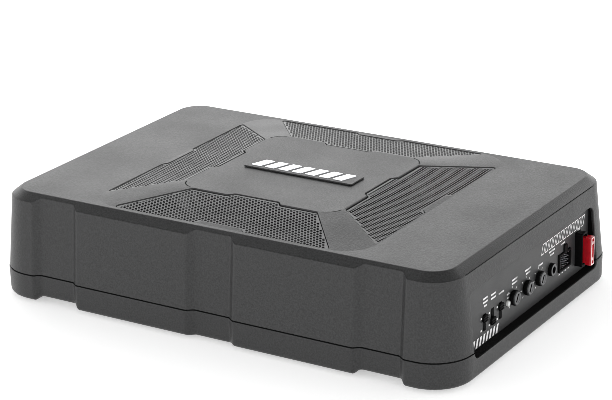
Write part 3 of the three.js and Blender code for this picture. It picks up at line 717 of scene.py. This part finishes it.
def window_outline(back=0.0):
    """A grille window as (out, along), counter-clockwise. Both long edges step inwards at
    their middle, and every corner is rounded. back moves its edge away from the plate."""
    low, high = box_mm("grille_mesh_right")
    step_in, step_out = 4.0, 3.4
    inner = low.x - MESH_GAP + step_in
    outer = high.x + MESH_GAP
    inner_half, outer_half = 48.0, high.y + MESH_GAP + 0.6
    inner_half += back * (outer_half - inner_half) / (outer - inner)
    inner += back
    half_line = [
        (outer - step_out, 15.0),
        (outer, 18.4),
        (outer, outer_half),
        (inner, inner_half),
        (inner, 20.4),
        (inner - step_in, 17.0),
    ]
    line = half_line + [(out, -along) for out, along in reversed(half_line)]
    radii = [2.5, 2.0, 1.6, 1.6, 2.0, 2.5]
    return fillet(line, radii + radii[::-1], 4, closed=True)


def split_window(outset):
    """The window's outline, grown by outset and cut in two where the plate's edge crosses
    it: the part outside the plate, and the notch in the plate, both from -along to
    +along."""
    outline = grow(window_outline(), outset)
    notch = [p for p in outline if p.x < PLATE_HALF]
    first, last = outline.index(notch[0]), outline.index(notch[-1])
    outside = outline[last + 1:] + outline[:first]

    def crossing(a, b):
        return a + (b - a) * (PLATE_HALF - a.x) / (b.x - a.x)

    start = crossing(outline[first - 1], notch[0])
    end = crossing(notch[-1], outline[last + 1])
    return [end, *outside, start], [end, *reversed(notch), start]


def grille_side(skin, side):
    """One sloping face of the raised grille, with the rounded rim of its window. It takes
    in the first step of the round corner at either end."""
    place = on_side(side)
    drop = 3.0
    window = window_outline()
    low, high = corner_arcs()
    half_face = [Vector(p) for p in (low[0], low[1], high[1], high[0])]
    mirrored = [Vector((p.x, -p.y)) for p in reversed(half_face)]
    outside, _ = split_window(WINDOW_RIM)
    face = half_face + outside[::-1] + mirrored
    skin.fill(face, [], lambda u, v: place(u, v, frame_height(u, v)))
    loops = []
    for fall, outset in rounded_edge(WINDOW_RIM, 3):
        loop = grow(window, outset)
        loops.append([place(u, v, frame_height(u, v) - fall) for u, v in loop])
    loops.append([place(u, v, frame_height(u, v) - drop) for u, v in window])
    skin.rings(loops)


def corner_direction(step):
    """The way out at a step of a corner's arc."""
    angle = math.radians(90 * step / 10)
    return Vector((math.cos(angle), math.sin(angle)))


def plate_line(step):
    """Half width and depth of the groove round the plate at a step of a corner's arc. It
    runs out at both ends."""
    return (0.0, 0.0) if step in (1, 9) else PLATE_LINE


def grille_corner(skin, side):
    """The convex corner between two sloping faces: part of a cone, up to a fine groove
    round the plate."""
    place = on_side(side)
    low, high = corner_arcs()
    columns = []
    for step in range(1, 10):
        half, depth = plate_line(step)
        out = corner_direction(step)
        brow = Vector(high[step]) + out * half
        columns.append([
            place(*low[step], TOP_Z),
            place(*brow, slope_height(*brow)),
            place(*high[step], PLATE_Z - depth),
            place(*(Vector(high[step]) - out * half), PLATE_Z),
        ])
    for j in range(3):
        skin.grid([column[j:j + 2] for column in columns])


def plate_outline():
    """The raised plate's outline: notched by the windows, and drawn in at the groove round
    its corners."""
    _, notch = split_window(WINDOW_RIM)
    outline = []
    for side in SIDES:
        turn = Matrix.Rotation(math.radians(SIDES[side]), 2)
        corner = []
        for step, point in enumerate(corner_arcs()[1]):
            half = plate_line(step)[0] if 0 < step < 10 else 0
            corner.append(Vector(point) - corner_direction(step) * half)
        outline += [turn @ p for p in notch + corner]
    return outline


def upper_cover():
    """The cover: walls and chamfer, the top, and the raised grille's frame on it."""
    skin = Skin()

    def profile(point, out, x):
        grooved = out.x > 0.999 and abs(point.y) < STRAIGHT_Y - 1
        return cover_profile(channel_depth(x), grooved)

    grid = body_walls(skin, profile, COVER_CREASE_ROW)
    recess_opening(skin, False, lambda z: HALF_X - wall_inset(z))
    top_edge = [(p[-1].x, p[-1].y) for p in grid]
    foot = rounded_rect(FRUSTUM_HALF, FRUSTUM_HALF, FRUSTUM_RADIUS, 10)
    skin.fill(top_edge, [foot], face_z(TOP_Z))
    for side in SIDES:
        grille_side(skin, side)
        grille_corner(skin, side)
    skin.fill(plate_outline(), [], face_z(PLATE_Z))
    skin.finish("upper_cover_shell", COAT, replaces=["upper_cover"])


def screw_wells():
    """Round outlines of the four sunk screw heads in the underside."""
    wells = []
    for node in numbered("base_screw", 4):
        low, high = box_mm(node)
        middle = ((low.x + high.x) / 2, (low.y + high.y) / 2)
        wells.append(arc(middle, (high.x - low.x) / 2 + 0.4, 0, 345, 23))
    return wells


def lower_base():
    """The base: walls, and an underside with the strap grooves and the screws' wells."""
    skin = Skin()

    def profile(point, out, x):
        return base_profile(channel_depth(x), groove_height(x))

    grid = body_walls(skin, profile, BASE_EDGE_ROW)
    recess_opening(skin, True, lambda z: HALF_X - BASE_DRAFT * (RIM_Z - z) / (RIM_Z - BASE_Z))
    stations = len(wall_stations())
    back_start = len(grid) // 2
    front = grid[:stations]
    back = grid[back_start:back_start + stations][::-1]
    skin.grid([[a[-1], b[-1]] for a, b in zip(front, back)])
    right = grid[stations - 1:back_start + 1]
    left = grid[back_start + stations - 1:] + grid[:1]
    wells = screw_wells()
    for end, side in ((right, 1), (left, -1)):
        own = [well for well in wells if well[0][0] * side > 0]
        skin.fill([(p[-1].x, p[-1].y) for p in end], own, face_z(BASE_Z))
    top = BASE_Z + 2.5
    for well in wells:
        skin.grid([[(x, y, BASE_Z), (x, y, top)] for x, y in well], closed=True)
        skin.fill(well, [], face_z(top))
    skin.finish("lower_base_shell", COAT, replaces=["lower_base"])


# Grille sheet and badge -----------------------------------


def hole_centres(outline):
    """A staggered pattern of holes, in rows along the window, that lies inside it. The
    first row runs along the outer edge."""
    inner = [tuple(p) for p in grow(outline, -HOLE_RADIUS - 0.34)]
    first = max(out for out, _ in inner) - 0.001
    reach = int(FRUSTUM_HALF / HOLE_PITCH) + 1
    row_gap = HOLE_PITCH * math.sqrt(3) / 2
    centres = []
    for row in range(int((first - PLATE_HALF) / row_gap) + 3):
        for i in range(-reach, reach + 1):
            centre = (first - row_gap * row, HOLE_PITCH * (i + 0.5 * (row % 2)))
            if in_polygon(centre, inner):
                centres.append(centre)
    return centres


def grille_sheet(side):
    """The perforated sheet in one window, with its edge folded down."""
    skin = Skin()
    place = on_side(side)

    def surface(out, along, drop):
        return place(out, along, slope_height(out, along) - MESH_DROP - drop)

    flat = [tuple(p) for p in grow(window_outline(PLATE_GAP), -MESH_GAP)]
    holes = [arc(c, HOLE_RADIUS, 0, 324, 9) for c in hole_centres(flat)]
    edge = 0.3
    skin.fill(grow(flat, -edge), holes, lambda u, v: surface(u, v, 0))
    fold = [[surface(*p, 2.0) for p in flat]]
    for inset, drop in rounded_edge(edge, 3):
        fold.append([surface(*p, drop) for p in grow(flat, -inset)])
    skin.rings(fold)
    for hole in holes:
        skin.grid([[surface(*p, 0), surface(*p, SHEET)] for p in hole], closed=True)
    node = "grille_mesh_" + side
    skin.finish(node + "_sheet", MESH_COAT, replaces=[node])


def badge():
    """A low plate with a row of raised, slanted bars."""
    low, high = box_mm("badge_plate")
    plate_top = high.z - 0.6

    def place(u, v, level):
        return (u, v, level)

    plate = Skin()
    outline = rounded_rect(high.x, high.y, 1.5, 4)
    prism(plate, outline, place, low.z, plate_top, 0.25, 3)
    plate.finish("badge_base", COAT, replaces=["badge_plate"])
    bars = Skin()
    pitch, half_width, half_length, slant = 10.6, 3.6, 6.2, 2.3
    for i in range(-3, 4):
        outline = slanted_bar(pitch * i, 0, half_width, half_length, slant)
        rounded = fillet(outline, [0.5] * 4, 3, closed=True)
        prism(bars, rounded, place, plate_top - 0.3, high.z, 0.25)
    bars.finish("badge_bars", CHROME)


# Control panel --------------------------------------------


def panel_view(node):
    """A node as seen from in front of the panel: its middle and half size as (y, z), and
    the levels of its back and front."""
    low, high = box_mm(node)
    middle, half = (low + high) / 2, (high - low) / 2
    return middle.yz, half.yz, low.x - PANEL_X, high.x - PANEL_X


def centre_yz(node):
    """Middle of a node as seen from in front of the panel."""
    return panel_view(node)[0]


def knob(name):
    """A trimmer knob: ribbed skirt, raised rim and a screwdriver slot. Its tones are partly
    painted light and shade: a lighter face, a black skirt and a black slot.
    """
    node = name + "_knob"
    middle, (_, radius), _, height = panel_view(node)
    shoulder, floor = height - 0.9, height - 0.3
    skirt = [(2.9, 0.3), (radius, 0.3), (radius, shoulder), (radius - 0.9, shoulder)]
    # The skirt's black is partly painted shade on the knob's sides.
    lathe(
        node + "_skirt", fillet(skirt, [0, 0.3, 0.3, 0], 3), (PANEL_X, *middle), "x", BLACK, 72,
        ripple=lambda i: 1 if i % 4 < 2 else 0.955, body=node)

    def circle(radius):
        return arc(middle, radius, 0, 352.5, 47)

    outer = radius - 0.75
    inner = outer - 1.2
    rim = [(outer, height - 1.0), (outer, height), (outer - 0.9, height), (inner, floor)]
    tilt = Matrix.Rotation(math.radians(-KNOB_TILT), 2)
    cut = [middle + tilt @ Vector(p) for p in rounded_rect(0.75, 3.3, 0.6, 4)]
    # The face's lighter grey is partly painted light on the knob's front.
    face = PanelSkin()
    face.tube([(circle(r), level) for r, level in fillet(rim, [0, 0.2, 0.2, 0], 3)])
    face.cap(circle(inner), floor, [cut])
    face.finish(node + "_face", KNOB_FACE, node, [node])
    # The slot's walls and floor are black: painted shade in the slot.
    slot = PanelSkin()
    slot.well(cut, floor, floor - 1.1)
    slot.finish(node + "_slot_shade", BLACK, node)


def switch_slider(name):
    """A slide switch's actuator: a block with ribs across it, on a stem."""
    node = name + "_slider"
    middle, (half_y, half_z), _, front = panel_view(node)
    skin = PanelSkin()
    block = rounded_rect(half_y, half_z, 0.3, 3, middle)
    prism(skin, block, out_of_panel, 0.4, front - 0.4, 0.2, 2)
    for shift in (-1.6, 0, 1.6):
        rib = rounded_rect(half_y - 0.3, 0.35, 0.2, 3, middle + Vector((0, shift)))
        prism(skin, rib, out_of_panel, 1.0, front, 0.15)
    stem = rounded_rect(1.8, 2.2, 0.3, 2, middle)
    prism(skin, stem, out_of_panel, -4.5, 0.5)
    skin.finish(node + "_nub", BLACK, node, [node])


def led():
    """A small domed lamp in a pale ring."""
    node = "power_led"
    middle, (_, radius), _, _ = panel_view(node)
    place = (PANEL_X, *middle)
    lens = radius - 0.5
    angles = [math.pi / 2 * k / 8 for k in range(9)]
    dome = [(lens * math.cos(a), 1.0 + 0.6 * lens * math.sin(a)) for a in angles]
    lathe(node + "_lens", [(lens, -3)] + dome, place, "x", LENS, 24, replaces=[node])
    ring = fillet([(radius, -1), (radius, 1.3), (lens, 1.3), (lens, -1)], [0, 0.2, 0.2, 0], 3)
    lathe(node + "_ring", ring, place, "x", BEZEL, 32)


def jack():
    """A jack socket: a black collar, a lighter ring on its face, and the bore."""
    node = "remote_jack"
    high = box_mm(node)[1]
    rim, mouth, bore = 4.3, 2.4, 1.8
    place = (PANEL_X, centre_yz(node).x, high.z - 5.4)
    front = high.x - PANEL_X
    side = fillet([(rim, -1), (rim, front), (rim - 0.35, front)], [0, 0.25, 0], 3)
    ring = fillet([(rim - 0.35, front), (rim - 0.5, front + 0.15), (mouth, front)], [0, 0.2, 0], 3)
    well = [(mouth, front), (mouth, front - 0.8), (bore, front - 0.8), (bore, -9)]
    lathe(node + "_collar", side, place, "x", BLACK, 48, replaces=[node])
    lathe(node + "_ring", ring, place, "x", KNOB_FACE, 48)
    lathe(node + "_bore", well, place, "x", BLACK, 48)


def connector_outline(inset):
    """The power connector's outline, with its tab on top."""
    low, high = box_mm("power_connector")
    shoulder = high.z - CONNECTOR_KEY_HEIGHT
    key_low, key_high = CONNECTOR_KEY
    line = [
        (low.y + inset, low.z + inset),
        (high.y - inset, low.z + inset),
        (high.y - inset, shoulder - inset),
        (key_high - inset, shoulder - inset),
        (key_high - inset, high.z - inset),
        (key_low + inset, high.z - inset),
        (key_low + inset, shoulder - inset),
        (low.y + inset, shoulder - inset),
    ]
    return fillet(line, [0.5, 0.5, 0.5, 0.3, 0.5, 0.5, 0.3, 0.5], 3, closed=True)


def connector():
    """A multi-way socket in a housing with a tab, and its contacts."""
    node = "power_connector"
    low, high = box_mm(node)
    front = high.x - PANEL_X
    wall, floor = 1.3, front - 10
    shoulder = high.z - CONNECTOR_KEY_HEIGHT
    middle = Vector(((low.y + high.y) / 2, (low.z + shoulder) / 2))
    half_y, half_z = (high.y - low.y) / 2 - wall, (shoulder - low.z) / 2 - wall
    mouth = rounded_rect(half_y, half_z, 0.6, 4, middle)
    sides = ((0, -16), (0, front - 0.4), (0.12, front - 0.12), (0.4, front))
    walls = ((0.3, front), (0.08, front - 0.12), (0, front - 0.35), (0, floor))
    housing = PanelSkin()
    housing.tube([(connector_outline(inset), level) for inset, level in sides])
    housing.cap(connector_outline(0.4), front, [grow(mouth, 0.3)])
    housing.tube([(grow(mouth, outset), level) for outset, level in walls])
    housing.cap(mouth, floor)
    housing.finish(node + "_housing", BLACK, replaces=[node])
    pins = PanelSkin()
    for row, column in product(range(4), range(5)):
        spot = (middle.x + 3.0 * (column - 2), middle.y + 2.7 * (row - 1.5))
        pin = rounded_rect(0.35, 0.35, 0.12, 2, spot)
        prism(pins, pin, out_of_panel, floor - 0.5, front - 1.0, 0.15)
    pins.finish(node + "_contacts", STEEL)


def fuse_holder():
    """The fuse's holder, with a lead-in chamfer round its seat."""
    node = "fuse_holder"
    own_middle, half, _, front = panel_view(node)
    fuse_middle, fuse_half, _, _ = panel_view("blade_fuse")
    middle = Vector((own_middle.x, fuse_middle.y))
    gap, floor = 0.3, front - 7.3
    outline = rounded_rect(*half, 1.6, 5, middle)
    seat = rounded_rect(fuse_half.x + gap, fuse_half.y + gap, 0.5, 3, middle)
    sides = ((0, -1.5), (0, front - 0.8), (0.1, front - 0.3), (0.4, front))
    walls = ((0.25, front), (0, front - 0.4), (0, floor))
    skin = PanelSkin()
    skin.tube([(grow(outline, -inset), level) for inset, level in sides])
    skin.cap(grow(outline, -0.4), front, [grow(seat, 0.25)])
    skin.tube([(grow(seat, outset), level) for outset, level in walls])
    skin.cap(seat, floor)
    skin.finish(node + "_body", BLACK, replaces=[node])


def blade_fuse():
    """A blade fuse: a tapered body under a wider head, its two blades and the head's rim."""
    node = "blade_fuse"
    middle, (half_y, half_z), tip, front = panel_view(node)
    blade_length = 8
    back = tip + blade_length

    def outline(inset_y, inset_z, radius=0.7):
        return rounded_rect(half_y - inset_y, half_z - inset_z, radius, 4, middle)

    body = PanelSkin()
    sections = [
        (0.4, 1.8, back), (0.1, 1.4, back + 0.4), (0.1, 0.9, front - 4.6), (0.0, 0.0, front - 4.2),
        (0.0, 0.0, front - 0.7), (0.15, 0.15, front - 0.3), (0.4, 0.4, front - 0.1),
    ]
    body.tube([(outline(u, v), level) for u, v, level in sections])
    body.cap(outline(0.4, 1.8), back)
    pocket = outline(1.1, 1.3, 0.5)
    body.cap(outline(0.4, 0.4), front - 0.1, [pocket])
    body.well(pocket, front - 0.1, front - 0.5)
    body.finish(node + "_body", FUSE_RED, node, [node])
    rim = PanelSkin()
    outer, inner = outline(0.35, 0.35, 0.6), outline(1.05, 1.2, 0.5)
    rim.tube([(outer, front - 0.12), (outer, front), (inner, front), (inner, front - 0.3)])
    for shift in (-5.6, 5.6):
        window = rounded_rect(0.8, 1.0, 0.3, 3, middle + Vector((0, shift)))
        prism(rim, window, out_of_panel, front - 0.6, front, 0.1)
    rim.finish(node + "_rim", FUSE_PALE, node)
    blades = PanelSkin()
    for shift in (-6.4, 6.4):
        blade = rounded_rect(0.4, 2.6, 0.3, 2, middle + Vector((0, shift)))
        prism(blades, blade, out_of_panel, back + 1, tip, 0.3)
    blades.finish(node + "_blades", STEEL, node)


class Print(PanelSkin):
    """White print on the panel, very slightly raised."""

    def stamp(self, outline):
        prism(self, outline, out_of_panel, *PRINT_LEVELS)

    def dashes(self, y, z, count, half_z=0.58):
        """A row of plain dashes, in place of a word."""
        pitch = 1.25
        for k in range(count):
            self.stamp(slanted_bar(y + pitch * (k - (count - 1) / 2), z, 0.4, half_z))


def knob_marks(marks):
    """Seven ticks round each knob over its travel, and one or two rows of dashes above."""
    for name, counts in (("bass_boost", (6, 6)), ("crossover", (7, 5)), ("gain", (5,))):
        middle = centre_yz(name + "_knob")
        for k in range(7):
            angle = math.radians(-50 + 280 * k / 6)
            out = Vector((math.cos(angle), math.sin(angle)))
            across = Vector((-out.y, out.x)) * 0.25
            sides = ((6.2, -1), (7.6, -1), (7.6, 1), (6.2, 1))
            marks.stamp([middle + out * r + side * across for r, side in sides])
        top = middle.y + (11.4 if len(counts) == 2 else 8.2)
        for k, count in enumerate(counts):
            marks.dashes(middle.x + 2.8, top - 2.4 * k, count)


def switch_marks(marks):
    """Rows of dashes above each switch, and a bar beside either end of its slot."""
    switches = (("auto_on", (5, 5, 3), 45.0), ("input_level", (5, 5), 43.9), ("phase", (6,), 41.0))
    for name, counts, top in switches:
        middle = centre_yz(name + "_switch_body")
        for k, count in enumerate(counts):
            marks.dashes(middle.x + 1.2, top - 2.5 * k, count)
        for z in (33.0, 25.0):
            marks.stamp(slanted_bar(middle.x - 4.3, z, 0.7, 0.6))


def socket_marks(marks):
    """Dashes above the lamp, the jack, the power connector and the fuse."""
    led_y = centre_yz("power_led").x
    marks.dashes(led_y, 36.4, 2)
    marks.dashes(led_y, 34.0, 2)
    jack_y = centre_yz("remote_jack").x
    marks.dashes(jack_y + 1.2, 44.0, 7)
    marks.dashes(jack_y + 1.2, 41.6, 5)
    low, high = box_mm("power_connector")
    for k in range(4):
        marks.stamp(slanted_bar(low.y + 2 + 4.6 * k, low.z - 1.8, 0.9, 0.35))
    marks.dashes(low.y + 6.5, high.z + 1.8, 5, 0.5)
    marks.dashes(centre_yz("fuse_holder").x + 1.2, 45.2, 3, 0.5)


def name_bars(marks):
    """A row of hollow slanted bars and a row of solid ones, in place of names."""
    start, pitch, height = 19.5, 5.4, 49.5
    for k in range(12):
        y = start + pitch * k
        outer = slanted_bar(y, height, 2.0, 3.6, 1.2)
        inner = slanted_bar(y, height, 1.45, 3.05, 1.2)
        marks.cap(outer, PRINT_LEVELS[1], [inner])
    start, pitch, height = -76.8, 4.5, 18.7
    for k in range(8):
        marks.stamp(slanted_bar(start + pitch * k, height, 1.1, 2.9, 1.0))


def panel_print():
    """All the marks on the panel, as one piece."""
    marks = Print()
    knob_marks(marks)
    switch_marks(marks)
    socket_marks(marks)
    name_bars(marks)
    marks.finish("panel_print", PRINT)


def panel_seal():
    """The thin black lining of the control recess: a seal whose black over the recess's ledge and
    ends is painted shade. It stands back further at the top, where the wall's rim hides its edge."""
    half_z = (RECESS_HIGH - RECESS_LOW) / 2
    middle = (0, RECESS_LOW + half_z)
    root = PANEL_X + 0.3

    def outline(inset):
        radius = RECESS_RADIUS - inset
        return rounded_rect(RECESS_HALF - inset, half_z - inset, radius, 6, middle)

    def lip(y, z):
        set_back = 0.9 + (z - RECESS_LOW) / (2 * half_z)
        return (min(HALF_X, HALF_X - wall_inset(z)) - set_back, y, z)

    outer, inner = outline(0.25), outline(0.6)
    skin = Skin(40)
    skin.rings([
        [(root, y, z) for y, z in outer],
        [lip(y, z) for y, z in outer],
        [lip(y, z) for y, z in inner],
        [(root, y, z) for y, z in inner],
    ])
    # Its black on the recess's ledge and ends is painted shade.
    skin.finish("panel_seal_shade_lining", RUBBER, replaces=["panel_seal"])


# Feet, driver and the nodes that stay ---------------------


def feet():
    """Eight rubber feet with a rounded edge and a dished face."""
    for node in numbered("rubber_foot", 8):
        low, high = box_mm(node)
        radius, height, dish = (high.x - low.x) / 2, high.z - low.z, 0.3
        centre = ((low.x + high.x) / 2, (low.y + high.y) / 2, low.z)
        line = [
            (0, height),
            (radius, height),
            (radius, 0),
            (radius - 2, 0),
            (radius - 2.4, dish),
            (0, dish),
        ]
        profile = fillet(line, [0, 0.1, 0.7, 0, 0, 0], 4)
        lathe(node + "_pad", profile, centre, "z", RUBBER, 40, replaces=[node])


def section(upper, thickness):
    """Closed outline of a sheet that hangs below a line of (radius, z)."""
    lower = [(r, z - thickness) for r, z in reversed(upper)]
    return upper + lower + upper[:1]


def surround_section():
    """The surround's outline as (radius, z): a half roll between two flat edges."""
    high = box_mm("driver_surround")[1]
    outer, inner = high.x, box_mm("driver_cone")[1].x - 2
    roll = (outer - 1.5 - inner - 3) / 2
    middle = inner + 3 + roll
    top = high.z - 0.5
    angles = [math.pi * k / 12 for k in range(13)]
    half_roll = [(middle + roll * math.cos(a), top - roll * math.sin(a)) for a in angles]
    return section([(outer, top), *half_roll, (inner, top)], 0.8)


def spider_section():
    """The spider's outline as (radius, z): five waves from its rim to the voice coil."""
    low, high = box_mm("spider")
    rim, neck = high.x, box_mm("voice_coil")[1].x + 0.3
    wave = []
    for k in range(33):
        share = k / 32
        height = (low.z + high.z) / 2 + 0.8 * math.sin(share * 5 * math.tau)
        wave.append((rim + (neck - rim) * share, height))
    return section(wave, 0.4)


def sector(name, outline, start, sweep, material, node):
    """One sector of a soft ring, from its outer edge to its inner edge, made as a loose mesh
    that belongs to no body."""
    skin = Skin()
    columns = []
    for k in range(5):
        angle = math.radians(start + sweep * k / 4)
        columns.append([(r * math.cos(angle), r * math.sin(angle), z) for r, z in outline])
    skin.grid(columns)
    piece = skin.finish(name, material, body=None, replaces=[node])
    outer = max(r for r, _ in outline) - 1
    inner = min(r for r, _ in outline) + 1
    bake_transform(piece)


def soft_rings():
    """The surround and the spider, each in twelve sectors."""
    surround, spider = surround_section(), spider_section()
    count = 12
    sweep = 360 / count
    for i in range(count):
        number = str(i + 1)
        sector("surround_" + number, surround, sweep * i, sweep, BUTYL, "driver_surround")
        sector("spider_" + number, spider, sweep * i, sweep, SPIDER_CLOTH, "spider")


STAYING = {
    PANEL_COAT: ["control_panel"],
    RUBBER: ["seam_gasket"],
    BLACK: [
        "auto_on_switch_body", "input_level_switch_body", "phase_switch_body",
        "bass_boost_potentiometer", "crossover_potentiometer", "gain_potentiometer",
        "driver_baffle", "capacitor_1", "capacitor_2", "speaker_lead",
    ],
    BOARD: ["amplifier_board"],
    ALUMINIUM: ["heat_sink"],
    COPPER: ["toroid_transformer", "voice_coil"],
    BASKET_PAINT: ["driver_basket", *numbered("driver_screw", 4)],
    STEEL: ["magnet_top_plate", "magnet_yoke", *numbered("base_screw", 4)],
    FERRITE: ["magnet_ring"],
    PAPER: ["driver_cone", "dust_cap"],
}


def dress_frame():
    """Better materials for the CAD nodes that stay in view."""
    for material, names in STAYING.items():
        for name in names:
            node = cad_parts[name]
            node.data.materials.clear()
            node.data.materials.append(material)


# Stage ----------------------------------------------------

CAMERA = {"azimuth": 32.14, "elevation": 19.87, "roll": -1.37, "distance": 1467.5,
          "right": 1.1, "up": 14.6, "height": 45.0, "lens": 128.2}


def camera():
    """The camera, far off with a long lens."""
    turn = Matrix.Rotation(math.radians(CAMERA["azimuth"]), 4, "Z")
    turn = turn @ Matrix.Rotation(math.radians(90 - CAMERA["elevation"]), 4, "X")
    offset = Vector((CAMERA["right"], CAMERA["up"], CAMERA["distance"]))
    place = Vector((0, 0, CAMERA["height"])) + turn @ offset
    roll = Matrix.Rotation(math.radians(CAMERA["roll"]), 4, "Z")
    data = bpy.data.cameras.new("camera")
    data.lens = CAMERA["lens"]
    data.sensor_width = 36
    eye = bpy.data.objects.new("camera", data)
    bpy.context.scene.collection.objects.link(eye)
    eye.matrix_world = Matrix.Translation(place * MM) @ turn @ roll
    bpy.context.scene.camera = eye


def floor():
    """A white, matt, level floor, lit a little from within so that it looks evenly white."""
    bpy.ops.mesh.primitive_plane_add(size=12)
    plane = bpy.context.object
    plane.name = "floor"
    material, _, bsdf = shader("floor", (0.9, 0.9, 0.9), 0.9)
    bsdf.inputs["Emission Color"].default_value = (1, 1, 1, 1)
    bsdf.inputs["Emission Strength"].default_value = 0.42
    plane.data.materials.append(material)


def sky():
    """A white surround, darker overhead, so that only low light reaches the walls."""
    world = bpy.data.worlds.new("surround")
    bpy.context.scene.world = world
    world.use_nodes = True
    tree = world.node_tree
    background = tree.nodes["Background"]
    coordinates = tree.nodes.new("ShaderNodeTexCoord")
    split = tree.nodes.new("ShaderNodeSeparateXYZ")
    ramp = tree.nodes.new("ShaderNodeValToRGB")
    tree.links.new(coordinates.outputs["Generated"], split.inputs["Vector"])
    tree.links.new(split.outputs["Z"], ramp.inputs["Fac"])
    tree.links.new(ramp.outputs["Color"], background.inputs["Color"])
    stops = ((0.0, 1.0), (0.42, 1.0), (0.64, 0.2), (1.0, 0.18))
    elements = ramp.color_ramp.elements
    while len(elements) < len(stops):
        elements.new(0.5)
    for element, (place, level) in zip(elements, stops):
        element.position = place
        element.color = (level, level, level, 1)
    background.inputs["Strength"].default_value = 2.1


def light(name, place, aim, size, power):
    """A square soft light. Its place, aim and size are in metres."""
    data = bpy.data.lights.new(name, "AREA")
    data.size = size
    data.energy = power
    lamp = bpy.data.objects.new(name, data)
    bpy.context.scene.collection.objects.link(lamp)
    lamp.location = place
    lamp.rotation_mode = "QUATERNION"
    lamp.rotation_quaternion = (Vector(aim) - Vector(place)).to_track_quat("-Z", "Y")
    lamp.visible_camera = False


def stage():
    """Camera, floor and lights, and the film: a narrow pixel filter keeps it crisp."""
    camera()
    floor()
    sky()
    light("overhead", (-1.0, 0.8, 1.3), (0, 0, 0.05), 1.2, 5)
    light("side", (1.9, 0.2, 0.6), (0.1, 0, 0.05), 0.9, 0.3)
    bpy.context.scene.view_settings.view_transform = "Standard"
    bpy.context.scene.cycles.filter_width = 0.7


# Assembly -------------------------------------------------

stage()
upper_cover()
lower_base()
for name in SIDES:
    grille_sheet(name)
badge()
for name in ("bass_boost", "crossover", "gain"):
    knob(name)
for name in ("auto_on_switch", "input_level_switch", "phase_switch"):
    switch_slider(name)
led()
jack()
connector()
fuse_holder()
blade_fuse()
panel_print()
panel_seal()
feet()
soft_rings()
dress_frame()
